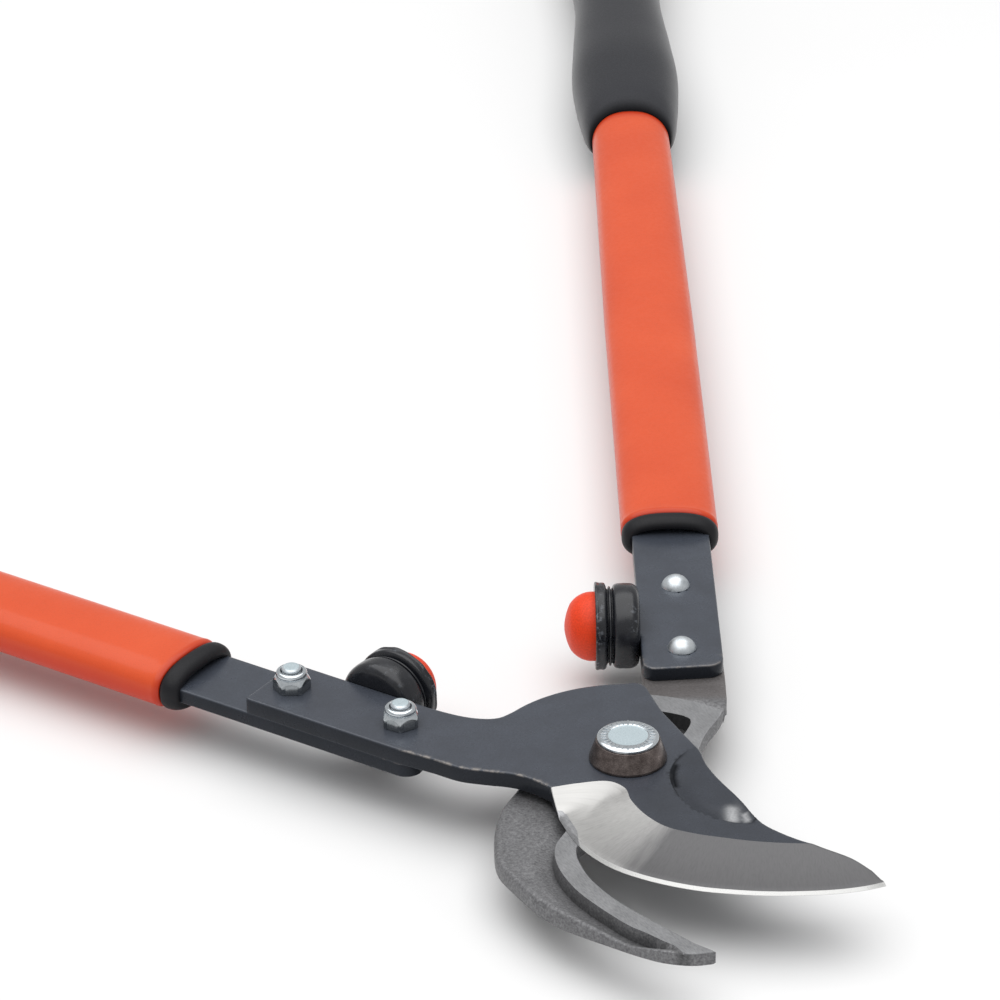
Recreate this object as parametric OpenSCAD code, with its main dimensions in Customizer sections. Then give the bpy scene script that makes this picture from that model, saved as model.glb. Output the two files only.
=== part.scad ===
// Long-handled bypass pruning shears.
// Millimetres. The pivot axis is Z and z = 0 is the surface that the shears lie on.
// +Y is midway between the two handles, and the blades point towards -Y.
// Each half is drawn in its own frame: y runs along its handle and the pivot is the origin.

/* [Handles] */
// Angle between the two handles, as drawn
opening = 55.5; // [50:0.5:60]
// Pivot to the end of a handle
handle_len = 700; // [660:5:760]
// Handle centre line to the line through the pivot
handle_off = 19; // [18.5:0.25:20]
// Width of the flattened part of the tube
tube_w = 30.6; // [30:0.2:32]
// Thickness of the flattened part of the tube
tube_t = 15.6; // [14:0.2:18]
// Tube wall
tube_wall = 1.3; // [1:0.1:1.8]
// Length of a grip
grip_len = 243; // [235:1:250]
// Greatest width of a grip
grip_w = 40.6; // [38:0.2:44]
// Greatest thickness of a grip
grip_t = 34.5; // [32:0.5:35]

/* [Tang bars] */
// Width of the flat bar that joins a handle to its blade
bar_w = 24.3; // [22:0.1:25]
// Thickness of the bar
bar_t = 4.5; // [4:0.1:4.8]
// Pivot to the bar's near end, on the cutting blade's side
bar_start = 56; // [55:0.5:58]
// How much further out everything sits on the counter blade's handle
right_shift = 4; // [2:0.5:5]
// Distance between a handle's two bolts
bolt_pitch = 39; // [38:0.5:42]
// Diameter of those bolts
bolt_d = 6; // [5:0.5:6]
// Width of their nuts across the flats
nut_af = 10; // [9:0.5:11]

/* [Blades] */
// Thickness of the cutting blade
blade_t = 5; // [4:0.25:6]
// Height of the honed strip along its edge
hone_h = 1; // [0.6:0.1:1.4]
// Height of the machined land above the forging
land_h = 3; // [2:0.25:3.5]

/* [Pivot] */
// Diameter of the pivot bolt
pivot_d = 10; // [8:0.5:10]
// Diameter of its head
pivot_head_d = 17.8; // [16:0.2:18.4]
// Diameter of the conical washer at its foot
cone_d = 22.5; // [20:0.5:24]
// Height of the conical washer
cone_h = 6.2; // [5:0.2:7]
// Height of the lock nut under the pivot
pivot_nut_h = 8; // [7:0.5:8.5]

/* [Bumpers] */
// Greatest diameter of the rubber cup
cup_d = 26.5; // [24:0.5:28]
// Length of the rubber cup
cup_len = 13.5; // [11:0.5:14]
// Diameter of the orange plug
plug_d = 21.1; // [18:0.1:22]
// How far the plug stands out of the cup
plug_out = 9.3; // [7:0.1:10]

/* [Hidden] */
$fn = 64;
L = -1;
R = 1;

run_gap = 0.1;                                  // under the cutting blade and under the cone
bore_gap = 0.05;                                // radial, round the pivot bolt
hole_gap = 0.25;                                // radial, round the tang bolts
tube_z = grip_t / 2;                            // height of the tubes' centre line
land_z = tube_z + bar_t / 2;                    // top of the land: the shearing plane
tail_z = land_z - bar_t;                        // top of the counter blade under its bar
blade_z = land_z + run_gap;                     // underside of the cutting blade
blade_top = blade_z + blade_t;
forge_z = land_z - land_h;                      // forged surface round the land
washer_t = 1.6;
washer_d = 20;
pivot_nut_af = 17;
under_z = pivot_nut_h + washer_t;               // underside of the counter blade
web_z = forge_z - 4.7;                          // underside of the hook
rim_z = land_z - 5;                             // underside of its thin inner side
boss_r = 12.5;                                  // boss round the pivot, underneath
cone_z = blade_top + run_gap;
head_z = cone_z + cone_h;
tail_end = 113;                                 // pivot to the end of the blade's plate
plate_x = [6.9, 31.5];                          // the blade plate's two edges
lobe_r = 42.6;                                  // blade's round end above the pivot
lobe_corner = [33.9, 19.7];
arc_r = 45.2;                                   // end of the land, round the pivot
cup_y = 83.9;                                   // pivot to the bumpers' axis
cup_back = handle_off - bar_w / 2;
cup_z = tube_z + 1.4;
lug = [12, 9];                                  // bumper lug: width, and length past the bar
plug_in = 1.6;                                  // how deep the plug sits in its cup
ferrule_len = 6.2;                              // ferrule showing past the tube
tube_end = handle_len - 10;
ring_n = 36;

function shift(side) = side == R ? right_shift : 0;
function bar_z(side) = side == R ? tail_z : blade_z - bar_t;
function ferrule_y(side) = bar_start + shift(side) + (side == R ? 83.8 : 81.4);
function tube_y(side) = ferrule_y(side) + ferrule_len;
function first_bolt(side) = bar_start + shift(side) + (side == R ? 12.3 : 10);
function bolt_y(side) = [for (i = [0, 1]) first_bolt(side) + bolt_pitch * i];

// ---------- curves ----------

function arc(c, r, a0, a1, n = 8) =
    [for (i = [0:n]) let (a = a0 + (a1 - a0) * i / n) c + r * [cos(a), sin(a)]];

// A smooth curve through the points p, with n steps from each to the next
function curve(p, n = 4) = concat(
    [for (i = [0:len(p) - 2], k = [0:n - 1])
        let (t = k / n, a = p[max(i - 1, 0)], b = p[i], c = p[i + 1], d = p[min(i + 2, len(p) - 1)])
        (2 * b + (c - a) * t + (2 * a - 5 * b + 4 * c - d) * t * t
            + (3 * b - a - 3 * c + d) * t * t * t) / 2],
    [p[len(p) - 1]]);

// A rounded oval across the handle at y, with half axes a and b
function oval(a, b, y, power = 2.5) =
    [for (i = [0:ring_n - 1])
        let (t = 360 * i / ring_n, c = cos(t), s = sin(t))
        [a * sign(c) * pow(abs(c), 2 / power), y, b * sign(s) * pow(abs(s), 2 / power)]];

// A closed skin over sections that all have the same number of points
module skin(rings) {
    n = len(rings[0]);
    m = len(rings);
    polyhedron(
        points = [for (r = rings, p = r) p],
        faces = concat(
            [[for (j = [n - 1:-1:0]) j]],
            [[for (j = [0:n - 1]) (m - 1) * n + j]],
            [for (i = [0:m - 2], j = [0:n - 1])
                [i * n + j, i * n + (j + 1) % n, (i + 1) * n + (j + 1) % n]],
            [for (i = [0:m - 2], j = [0:n - 1])
                [i * n + j, (i + 1) * n + (j + 1) % n, (i + 1) * n + j]]));
}

// ---------- frames ----------

module left_half() rotate([0, 0, opening / 2]) children();
module right_half() rotate([0, 0, -opening / 2]) children();

// A handle's frame: +x is outwards on both sides
module handle(side) {
    if (side == R) right_half() children();
    else left_half() mirror([1, 0, 0]) children();
}

module at_bolts(side) {
    for (y = bolt_y(side)) translate([handle_off, y, 0]) children();
}

// ---------- cutting blade ----------

// Edge nearest the ground when the shears are held up, from the tang to the heel
near_edge = [
    [-31.5, 72], [-31.4, 58], [-30.6, 47], [-30.3, 38], [-27.9, 30.5], [-25.2, 23.5],
    [-24.5, 17], [-25.5, 9.8]
];
cutting_edge = [
    [-32, 2.8], [-38.3, -5.5], [-42.9, -13.5], [-45.9, -24.4], [-45.7, -36.5], [-43.1, -48.8],
    [-38.9, -59.1], [-33.4, -69.4], [-25.3, -80.8], [-18.5, -88], [-12.9, -92.2]
];
spine = [
    [-12.9, -92.2], [-10.7, -86.5], [-10, -79.5], [-11.2, -70.5], [-11.6, -62], [-10.2, -52.4],
    [-7.3, -46.5], [-3.5, -41], [-0.5, -36.2], [2.4, -31], [5.2, -26.3], [8.4, -21.8],
    [11, -18.8], [13.8, -16.1], [15.9, -13.4], [19.9, -6.8], [23.5, -1.2], [28.2, 6.2],
    [34.1, 13.4], [36.9, 16.8]
];
inner_edge = [[4.4, 42.4], [-0.8, 44], [-4, 48.2], [-6, 54.8], [-6.9, 64]];

// Matching points along the top of the bevel and along the edge, from heel to tip
bevel_top = [
    [-26.3, 11.2], [-25.4, 9.7], [-19.6, 4.6], [-14, -1.9], [-14.5, -8.1], [-19.2, -13.2],
    [-23.4, -20.3], [-25.8, -28.5], [-24.8, -37], [-22.2, -45.5], [-18.8, -54.6],
    [-14.5, -63], [-9.6, -71], [-4, -79], [2, -87]
];
bevel_edge = [
    [-33, 3.9], [-32, 2.8], [-35.2, -1.5], [-38.3, -5.5], [-42.1, -12], [-44.8, -19.5],
    [-46, -27], [-45.8, -35.6], [-44.1, -45], [-41.2, -54], [-37.2, -62.6],
    [-32.4, -71], [-26.2, -79.7], [-18.5, -88], [-11.5, -93.2]
];

function blade_outline() = concat(
    arc([-plate_x[0] - 1, tail_end - 1], 1, 0, 90, 3),
    arc([-plate_x[1] + 1, tail_end - 1], 1, 90, 180, 3),
    curve(near_edge), curve(cutting_edge), curve([for (i = [1:len(spine) - 1]) spine[i]]),
    arc(lobe_corner, 4.1, -35, 35, 4), arc([0, 0], lobe_r, 34, 80, 10), curve(inner_edge));

// What the grinder takes off: the hollow bevel and the honed strip below it
module bevel_cut() {
    up = curve(bevel_top, 3);
    down = curve(bevel_edge, 3);
    clear = blade_t + 4;
    skin([for (i = [0:len(up) - 1])
        let (t = up[i], e = down[i], u = (t - e) / norm(t - e), h = e + hone_h * u,
            a = t + 2 * u, f = e - hone_h * u,
            rise = (blade_t - hone_h) / norm(t - h))
        [[f[0], f[1], clear], [a[0], a[1], clear], [a[0], a[1], blade_t + 2 * rise],
            [h[0], h[1], hone_h], [f[0], f[1], -hone_h]]]);
}

module cutting_blade() {
    dish_r = 120;
    dish_rim = 27.2;
    color("#565b63")
    left_half()
    translate([0, 0, blade_z])
    difference() {
        linear_extrude(blade_t) polygon(blade_outline());
        bevel_cut();
        translate([12.5, -38.5, blade_t + sqrt(dish_r * dish_r - dish_rim * dish_rim)])
            sphere(r = dish_r);
        translate([0, 0, -1]) cylinder(d = pivot_d + 2 * bore_gap, h = blade_t + 2);
        mirror([1, 0, 0]) at_bolts(L)
            translate([0, 0, -1]) cylinder(d = bolt_d + 2 * hole_gap, h = blade_t + 2);
    }
}

// ---------- counter blade ----------

hook_outer = [
    [7, 60], [6.8, 50], [4.5, 43], [-2, 37], [-12, 31.5], [-21.5, 22.5], [-27.5, 11],
    [-31.3, -2], [-36.6, -14.4], [-38.8, -28.3], [-38.4, -41.3], [-34.7, -50.2],
    [-27.2, -63], [-18.6, -72.6], [-8.9, -81.3], [-1, -88], [6, -92.6], [13.5, -94.6], [20, -93.6]
];
hook_inner = [
    [20, -93.6], [14.4, -89.2], [5.3, -79.6], [-4.7, -68.5], [-11.9, -57.2], [-15.3, -47.5],
    [-16, -41], [-15, -37.6], [-11, -33.6], [-2, -28], [7, -22], [14, -14], [18, -5],
    [20, 6], [21, 13.3], [23.6, 22], [28.3, 32.2], [30.7, 42], [31.4, 55], [31.5, 66]
];
// The land's outer side: under the blade, round the hook and out past the tip
land_outer = [
    [-8, 27], [-17, 17], [-20, 3], [-17.5, -10], [-16, -21], [-18.3, -30], [-21.6, -38],
    [-21.9, -46], [-19.6, -55], [-14.6, -65], [-4.3, -78.5], [1.8, -84], [6, -88.3], [8, -97]
];
pocket = [[19.5, 28.2], [18.8, 25.3], [16.2, 19.6], [12.5, 15.5], [5, 18.5], [-1, 21.5], [-1, 30]];

module counter_outline() {
    polygon(concat(
        [[handle_off + bar_w / 2, tail_end + right_shift]],
        [[handle_off - bar_w / 2, tail_end + right_shift]],
        curve(hook_outer), curve([for (i = [1:len(hook_inner) - 1]) hook_inner[i]])));
}

// Underneath, the forging is thinner on the inner side of this line
thin_edge = [
    [17, -99], [10, -90.5], [1, -81.5], [-9, -70], [-16.5, -58], [-19.5, -48], [-20, -40],
    [-17.5, -35], [-12, -29.5], [-2, -23.5], [5, -18.5], [10.5, -11.5], [13, -4], [14.5, 6],
    [15.8, 14], [18.5, 24], [22.5, 34], [24.5, 44]
];

// Where the forging keeps its full height: a band along its inner side, round the pocket
module land_mask() {
    difference() {
        polygon(concat(
            arc([0, 0], arc_r, 50.7, 82, 10), curve(land_outer), [[30, -97], [50, -20], [40, 35]]));
        polygon(concat(
            curve(pocket), arc([0, 0], 36.4, 92, 61, 8), arc([16.6, 28.7], 3, 62, 20, 3)));
    }
}

// A cut right across a half, with its outline given in y and z
module cross_cut(outline) {
    width = 120;
    translate([-width / 2, 0, 0]) rotate([90, 0, 90]) linear_extrude(width) polygon(outline);
}

// Material left below the web: the boss round the pivot and the tail
module thick_mask() {
    tail_y = 50;
    wide = 60;
    circle(r = boss_r);
    translate([-wide, tail_y]) square([2 * wide, 2 * wide]);
}

module counter_blade() {
    neck_y = [46, 57];
    tip_y = -70;
    tip_slope = tan(8);
    far = 200;
    bottom = under_z - 1;
    color("#77787b")
    right_half()
    difference() {
        translate([0, 0, under_z]) linear_extrude(land_z - under_z) counter_outline();
        translate([0, 0, forge_z]) linear_extrude(land_h + 1) difference() {
            square(2 * far, center = true);
            land_mask();
        }
        // The tail slopes down to the bar's underside
        cross_cut([[neck_y[1], tail_z], [far, tail_z], [far, land_z + 1], [neck_y[0], land_z + 1],
            [neck_y[0], forge_z + 0.2]]);
        // Underside of the hook, and of the thin inner side
        translate([0, 0, bottom]) linear_extrude(web_z - bottom) difference() {
            square(2 * far, center = true);
            thick_mask();
        }
        translate([0, 0, bottom]) linear_extrude(rim_z - bottom) difference() {
            polygon(concat(curve(thin_edge, 3), [[60, 44], [60, -99]]));
            thick_mask();
        }
        // The hook thins towards its tip
        cross_cut([[tip_y + 10, web_z - 10 * tip_slope], [tip_y - far, web_z + far * tip_slope],
            [tip_y - far, bottom], [tip_y + 10, bottom]]);
        translate([0, 0, bottom]) cylinder(d = pivot_d + 2 * bore_gap, h = 20);
        at_bolts(R) translate([0, 0, bottom]) cylinder(d = bolt_d + 2 * hole_gap, h = 20);
    }
}

// ---------- fasteners ----------

// A round cap d across its flat side and h high
module cap(d, h) {
    r = (d * d / 4 + h * h) / (2 * h);
    intersection() {
        translate([0, 0, h - r]) sphere(r = r);
        cylinder(d = d, h = h);
    }
}

// A lock nut with its hexagon down and its collar up, h high
module lock_nut(af, d, h, ring_h) {
    hex_h = 0.72 * h;
    collar_d = 0.93 * af;
    difference() {
        union() {
            intersection() {
                cylinder(d = af / cos(30), h = hex_h, $fn = 6);
                cylinder(d1 = af * 1.1, d2 = af * 1.1 + 2 * hex_h, h = hex_h);
                translate([0, 0, -2 * hex_h]) cylinder(d1 = af + 6.2 * hex_h, d2 = af, h = 3.1 * hex_h);
            }
            cylinder(d = collar_d, h = h);
        }
        translate([0, 0, -1]) cylinder(d = d, h = h + 2);
        translate([0, 0, h - ring_h]) cylinder(d = nut_ring_d(d), h = ring_h + 1);
    }
}

function nut_ring_d(d) = d * 1.3;

module nut_ring(d, ring_h) {
    difference() {
        cylinder(d = nut_ring_d(d), h = ring_h);
        translate([0, 0, -1]) cylinder(d = d, h = ring_h + 2);
    }
}

small_nut_h = 6;
small_ring_h = 1.2;
pivot_ring_h = 1.6;
tip_out = 1.2;                                  // bolt showing past its nut
nut_turn = [26, -4];
bolt_head = [8.8, 3.4];                         // rounded head: diameter and height

// The nuts of a handle: on top of the blade's plate, and under the counter blade's tail
module nut_place(side) {
    handle(side) for (i = [0, 1]) translate([handle_off, bolt_y(side)[i], 0]) rotate([0, 0, nut_turn[i]]) {
        if (side == L) translate([0, 0, blade_top]) children();
        else translate([0, 0, under_z]) mirror([0, 0, 1]) children();
    }
}

module tang_bolts(side) {
    held = side == L ? blade_top - bar_z(L) : land_z - under_z;
    chamfer = 0.6;
    shank = held + small_nut_h + tip_out - chamfer;
    color("#c8d4d8")
    nut_place(side) translate([0, 0, -held]) {
        cylinder(d = bolt_d, h = shank);
        translate([0, 0, shank]) cylinder(d1 = bolt_d, d2 = bolt_d - 2 * chamfer, h = chamfer);
        mirror([0, 0, 1]) cap(bolt_head[0], bolt_head[1]);
    }
}

module tang_nuts(side) {
    color("#c8d4d8") nut_place(side) lock_nut(nut_af, bolt_d, small_nut_h, small_ring_h);
}

module nut_rings(side) {
    color("#3c4048") nut_place(side)
        translate([0, 0, small_nut_h - small_ring_h]) nut_ring(bolt_d, small_ring_h);
}

seat_d = 14;                                    // the pivot bolt's shoulder, sunk in the cone washer
seat_h = 2.4;

module pivot_bolt() {
    rim_h = 0.8;
    chamfer_h = 0.4;
    chamfer_w = 0.6;
    color("#c8d4d8") {
        cylinder(d = pivot_d, h = head_z);
        translate([0, 0, head_z - seat_h]) cylinder(d = seat_d, h = seat_h);
        translate([0, 0, head_z]) cylinder(d = pivot_head_d, h = rim_h);
        translate([0, 0, head_z + rim_h])
            cylinder(d1 = pivot_head_d, d2 = pivot_head_d - 2 * chamfer_w, h = chamfer_h);
    }
}

module pivot_cone_washer() {
    color("#5d514d")
    translate([0, 0, cone_z])
    difference() {
        cylinder(d1 = cone_d, d2 = pivot_head_d + 0.6, h = cone_h);
        translate([0, 0, -1]) cylinder(d = pivot_d, h = cone_h + 2);
        translate([0, 0, cone_h - seat_h]) cylinder(d = seat_d, h = seat_h + 1);
    }
}

module pivot_washer() {
    color("#c8d4d8")
    translate([0, 0, pivot_nut_h])
    difference() {
        cylinder(d = washer_d, h = washer_t);
        translate([0, 0, -1]) cylinder(d = pivot_d, h = washer_t + 2);
    }
}

module pivot_nut() {
    color("#c8d4d8") translate([0, 0, pivot_nut_h]) mirror([0, 0, 1])
        lock_nut(pivot_nut_af, pivot_d, pivot_nut_h, pivot_ring_h);
}

module pivot_nut_ring() {
    color("#3c4048") nut_ring(pivot_d, pivot_ring_h);
}

// ---------- handles ----------

module bar_outline(side) {
    y0 = bar_start + shift(side);
    y1 = ferrule_y(side) + 52;
    x0 = handle_off - bar_w / 2;
    x1 = handle_off + bar_w / 2;
    yc = cup_y + shift(side);
    fillet = 3;
    inner_r = 4;
    outer_r = 5;
    outer_y = y0 + (side == R ? 6.2 : 3.2);
    polygon(concat(
        [[x0, y1]],
        arc([x0 - fillet, yc + lug[0] / 2 + fillet], fillet, 0, -90, 4),
        [[x0 - lug[1], yc + lug[0] / 2], [x0 - lug[1], yc - lug[0] / 2]],
        arc([x0 - fillet, yc - lug[0] / 2 - fillet], fillet, 90, 0, 4),
        arc([x0 + inner_r, y0 + inner_r], inner_r, 180, 270, 5),
        arc([x1 - outer_r, outer_y], outer_r, 275, 360, 5),
        [[x1, y1]]));
}

module tang_bar(side) {
    color("#4d525a")
    handle(side)
    difference() {
        translate([0, 0, bar_z(side)]) linear_extrude(bar_t) bar_outline(side);
        at_bolts(side) translate([0, 0, tail_z - 1]) cylinder(d = bolt_d + 2 * hole_gap, h = bar_t + 3);
    }
}

// Bumper frame: z runs from the tang bar's inner edge towards the other handle
module bumper(side) {
    handle(side) translate([cup_back, cup_y + shift(side), cup_z]) rotate([0, -90, 0]) children();
}

module lug_slot(side) {
    translate([bar_z(side) - cup_z, -lug[0] / 2 - 3, -1]) cube([bar_t, lug[0] + 6, 4]);
    translate([bar_z(side) - cup_z, -lug[0] / 2, -1]) cube([bar_t, lug[0], lug[1] + 1]);
}

module bumper_cup(side) {
    flange = 3.6;
    groove = 1.3;
    body_d = cup_d - 0.6;
    edge = 2.2;
    color("#2e3036")
    bumper(side)
    difference() {
        rotate_extrude() polygon(concat(
            [[0, 0]],
            arc([body_d / 2 - edge, edge], edge, -90, 0, 5),
            [[body_d / 2, cup_len - flange - groove - 0.5], [body_d / 2 - 1.2, cup_len - flange - groove],
                [body_d / 2 - 1.2, cup_len - flange], [cup_d / 2, cup_len - flange + 0.8],
                [cup_d / 2, cup_len], [0, cup_len]]));
        translate([0, 0, cup_len - plug_in]) cylinder(d = plug_d, h = plug_in + 1);
        lug_slot(side);
    }
}

module bumper_plug(side) {
    straight = 1.4;
    color("#e0512f")
    bumper(side)
    translate([0, 0, cup_len - plug_in]) {
        cylinder(d = plug_d, h = plug_in + straight);
        translate([0, 0, plug_in + straight]) cap(plug_d, plug_out - straight);
    }
}

// Half width and half thickness of the tube along the handle: it turns rounder under the grip
tube_a = [[0, tube_w / 2], [300, tube_w / 2], [450, tube_w / 2 - 0.9], [700, tube_w / 2 - 2.8]];
tube_b = [[0, tube_t / 2], [300, tube_t / 2], [450, tube_t / 2 + 1.1], [700, tube_t / 2 + 4]];

function tube_oval(y, wall = 0) = oval(lookup(y, tube_a) - wall, lookup(y, tube_b) - wall, y);

module ferrule(side) {
    front_a = bar_w / 2 + 0.8;
    front_b = bar_t / 2 + 3;
    a = tube_w / 2;
    b = tube_t / 2;
    edge = 3.5;
    plug_len = 60;
    color("#34363b")
    handle(side)
    difference() {
        translate([handle_off, ferrule_y(side), tube_z]) {
            skin(concat(
                [for (t = [0, 15, 30, 50, 70, 90])
                    oval(front_a + (a - front_a) * sin(t), front_b + (b - front_b) * sin(t),
                        edge * (1 - cos(t)))],
                [oval(a, b, ferrule_len)]));
            skin([oval(a - tube_wall, b - tube_wall, ferrule_len),
                oval(a - tube_wall, b - tube_wall, ferrule_len + plug_len)]);
        }
        translate([0, 0, bar_z(side)]) linear_extrude(bar_t) bar_outline(side);
    }
}

module tube(side) {
    stations = [300, 450, 500, 600, tube_end];
    color("#e0593a")
    handle(side)
    translate([handle_off, 0, tube_z])
    difference() {
        skin([for (y = concat([tube_y(side)], stations)) tube_oval(y)]);
        skin([for (y = concat([tube_y(side) - 1], stations, [tube_end + 1])) tube_oval(y, tube_wall)]);
    }
}

// Distance from the grip's front corners, half width and half thickness, as parts of the greatest
grip_form = [
    [-7, 0.83, 0.66], [15, 0.88, 0.76], [35, 0.955, 0.88], [59, 1, 0.97], [88, 0.94, 0.93],
    [129, 0.84, 0.88], [163, 0.875, 0.91], [193, 0.935, 0.96], [217, 0.95, 1], [233, 0.9, 0.95],
    [240, 0.8, 0.84], [243, 0.6, 0.62]
];
form_len = 243;

module grip(side) {
    y0 = handle_len - grip_len;
    mouth_r = 0.48 * grip_w;
    mouth_in = 10;
    color("#43464c")
    handle(side)
    translate([handle_off, 0, tube_z])
    difference() {
        skin([for (s = curve(grip_form, 2))
            oval(s[1] * grip_w / 2, s[2] * grip_t / 2, y0 + s[0] * grip_len / form_len, 2.25)]);
        skin([for (y = [430, 450, 500, 600, tube_end]) tube_oval(y)]);
        translate([0, y0 + mouth_in - mouth_r, -grip_t]) cylinder(r = mouth_r, h = 2 * grip_t);
    }
}

cutting_blade();
counter_blade();
pivot_bolt();
pivot_cone_washer();
pivot_washer();
pivot_nut();
pivot_nut_ring();
tang_bar(L);  // left_tang_bar
tang_bolts(L);  // left_tang_bolts
tang_nuts(L);  // left_tang_nuts
nut_rings(L);  // left_nut_rings
bumper_cup(L);  // left_bumper_cup
bumper_plug(L);  // left_bumper_plug
ferrule(L);  // left_ferrule
tube(L);  // left_tube
grip(L);  // left_grip
tang_bar(R);  // right_tang_bar
tang_bolts(R);  // right_tang_bolts
tang_nuts(R);  // right_tang_nuts
nut_rings(R);  // right_nut_rings
bumper_cup(R);  // right_bumper_cup
bumper_plug(R);  // right_bumper_plug
ferrule(R);  // right_ferrule
tube(R);  // right_tube
grip(R);  // right_grip
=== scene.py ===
"""Looks of the long-handled bypass pruning shears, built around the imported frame.

Shapes are worked out in millimetres in the frame of one half or one handle, as in the CAD
model, and written to the meshes in metres in the shared frame.
"""
import math

import bpy
import numpy as np
from mathutils import Matrix, Vector
from mathutils.geometry import delaunay_2d_cdt


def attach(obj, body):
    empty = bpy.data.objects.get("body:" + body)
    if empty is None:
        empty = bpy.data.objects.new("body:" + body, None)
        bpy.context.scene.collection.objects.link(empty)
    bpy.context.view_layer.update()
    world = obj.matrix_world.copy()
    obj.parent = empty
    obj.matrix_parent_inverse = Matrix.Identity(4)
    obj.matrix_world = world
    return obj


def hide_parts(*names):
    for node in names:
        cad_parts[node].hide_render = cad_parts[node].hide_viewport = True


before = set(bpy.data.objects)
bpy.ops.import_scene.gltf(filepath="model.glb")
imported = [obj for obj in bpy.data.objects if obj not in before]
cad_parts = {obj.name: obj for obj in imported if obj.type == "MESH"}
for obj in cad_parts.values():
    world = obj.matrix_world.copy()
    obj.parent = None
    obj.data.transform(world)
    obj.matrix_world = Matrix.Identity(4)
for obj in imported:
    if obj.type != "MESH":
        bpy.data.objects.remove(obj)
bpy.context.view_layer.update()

# ----- Dimensions, in millimetres

OPENING = 55.5
HANDLE_LEN = 700.0
HANDLE_OFF = 19.0
TUBE_W = 30.6
TUBE_T = 15.6
TUBE_WALL = 1.3
GRIP_LEN = 243.0
GRIP_W = 40.6
GRIP_T = 34.5
BAR_W = 24.3
BAR_T = 4.5
BAR_START = 56.0
RIGHT_SHIFT = 4.0
BOLT_HOLE_R = 3.25
NUT_AF = 10.0
NUT_H = 6.0
NUT_BORE_R = 2.95
BOLT_TIP = 1.2
BOLT_HEAD = (8.8, 3.4)
BLADE_T = 5.0
HONE_H = 1.0
HONE_W = 1.0
EDGE_T = 0.08
BEVEL_HOLLOW = 0.35
SCOOP_DEPTH = 1.1
LAND_H = 3.0
PIVOT_D = 10.0
PIVOT_HOLE_R = PIVOT_D / 2 + 0.05
PIVOT_NUT = (17.0, 8.0, PIVOT_HOLE_R)
NECK_R = 7.0
NECK_H = 2.4
TICKS = 30
HEAD_D = 17.8
CONE_D = 22.5
CONE_H = 6.2
CUP_D = 26.5
CUP_LEN = 13.5
PLUG_D = 21.1
PLUG_OUT = 9.3
TUBE_Z = GRIP_T / 2
LAND_Z = TUBE_Z + BAR_T / 2
TAIL_Z = LAND_Z - BAR_T
BLADE_Z = LAND_Z + 0.1
BLADE_TOP = BLADE_Z + BLADE_T
FORGE_Z = LAND_Z - LAND_H
UNDER_Z = 9.6
WEB_Z = FORGE_Z - 4.7
RIM_Z = LAND_Z - 5
BOSS_R = 12.5
CONE_Z = BLADE_TOP + 0.1
HEAD_Z = CONE_Z + CONE_H
TAIL_END = 113.0
PLATE_X = (6.9, 31.5)
CUP_Y = 83.9
BAR_X = (HANDLE_OFF - BAR_W / 2, HANDLE_OFF + BAR_W / 2)
CUP_Z = TUBE_Z + 1.4
WASHER_Z = (8.0, 9.6)
FERRULE_LEN = 6.2

SIDES = ("left", "right")
BODY = {"left": "cutting_blade_half", "right": "counter_blade_half"}
SHIFT = {"left": 0.0, "right": RIGHT_SHIFT}
BOLT_PITCH = 39.0
FIRST_BOLT = {"left": BAR_START + 10, "right": BAR_START + RIGHT_SHIFT + 12.3}
FERRULE_Y = {"left": BAR_START + 81.4, "right": BAR_START + RIGHT_SHIFT + 83.8}
BAR_Z = {"left": BLADE_Z - BAR_T, "right": TAIL_Z}
NUT_TURN = (26.0, -4.0)

MM = Matrix.Scale(0.001, 4)
MIRROR_Z = Matrix.Diagonal((1, 1, -1, 1))


def shift(x=0.0, y=0.0, z=0.0):
    return Matrix.Translation((x, y, z))


def turn(degrees, axis="Z"):
    return Matrix.Rotation(math.radians(degrees), 4, axis)


LEFT_HALF = MM @ turn(OPENING / 2)
RIGHT_HALF = MM @ turn(-OPENING / 2)
HANDLE = {"left": LEFT_HALF @ Matrix.Diagonal((-1, 1, 1, 1)), "right": RIGHT_HALF}


def on_handle(side, y=0.0, z=TUBE_Z):
    """Maps from a point on the handle's centre line to the shared frame."""
    return HANDLE[side] @ shift(HANDLE_OFF, y, z)


# ----- Curves in a plane


def curve(points, n=4):
    """A smooth curve through the points, with n steps from each to the next."""
    p = np.array(points, float)
    out = []
    for i in range(len(p) - 1):
        a, b, c, d = p[max(i - 1, 0)], p[i], p[i + 1], p[min(i + 2, len(p) - 1)]
        for k in range(n):
            t = k / n
            out.append((2 * b + (c - a) * t + (2 * a - 5 * b + 4 * c - d) * t * t
                        + (3 * b - a - 3 * c + d) * t ** 3) / 2)
    out.append(p[-1])
    return np.array(out)


def arc(centre, r, a0, a1, n=8):
    """n steps of an arc, from angle a0 to a1 in degrees."""
    a = np.radians(np.linspace(a0, a1, n + 1))
    return np.array(centre) + r * np.stack([np.cos(a), np.sin(a)], 1)


def densify(points, step, closed=True):
    """The same line in steps no longer than step."""
    p = np.array(points, float)
    ends = np.vstack([p[1:], p[:1]]) if closed else p[1:]
    out = []
    for a, b in zip(p, ends):
        n = max(1, int(math.ceil(np.linalg.norm(b - a) / step)))
        out += [a + (b - a) * k / n for k in range(n)]
    if not closed:
        out.append(p[-1])
    return np.array(out)


def beside(line, by):
    """A line moved sideways to its left, by a distance or one distance per point."""
    t = np.gradient(line, axis=0)
    n = np.stack([-t[:, 1], t[:, 0]], 1) / np.maximum(np.linalg.norm(t, axis=1), 1e-9)[:, None]
    return line + n * np.reshape(by, (-1, 1))


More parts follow.
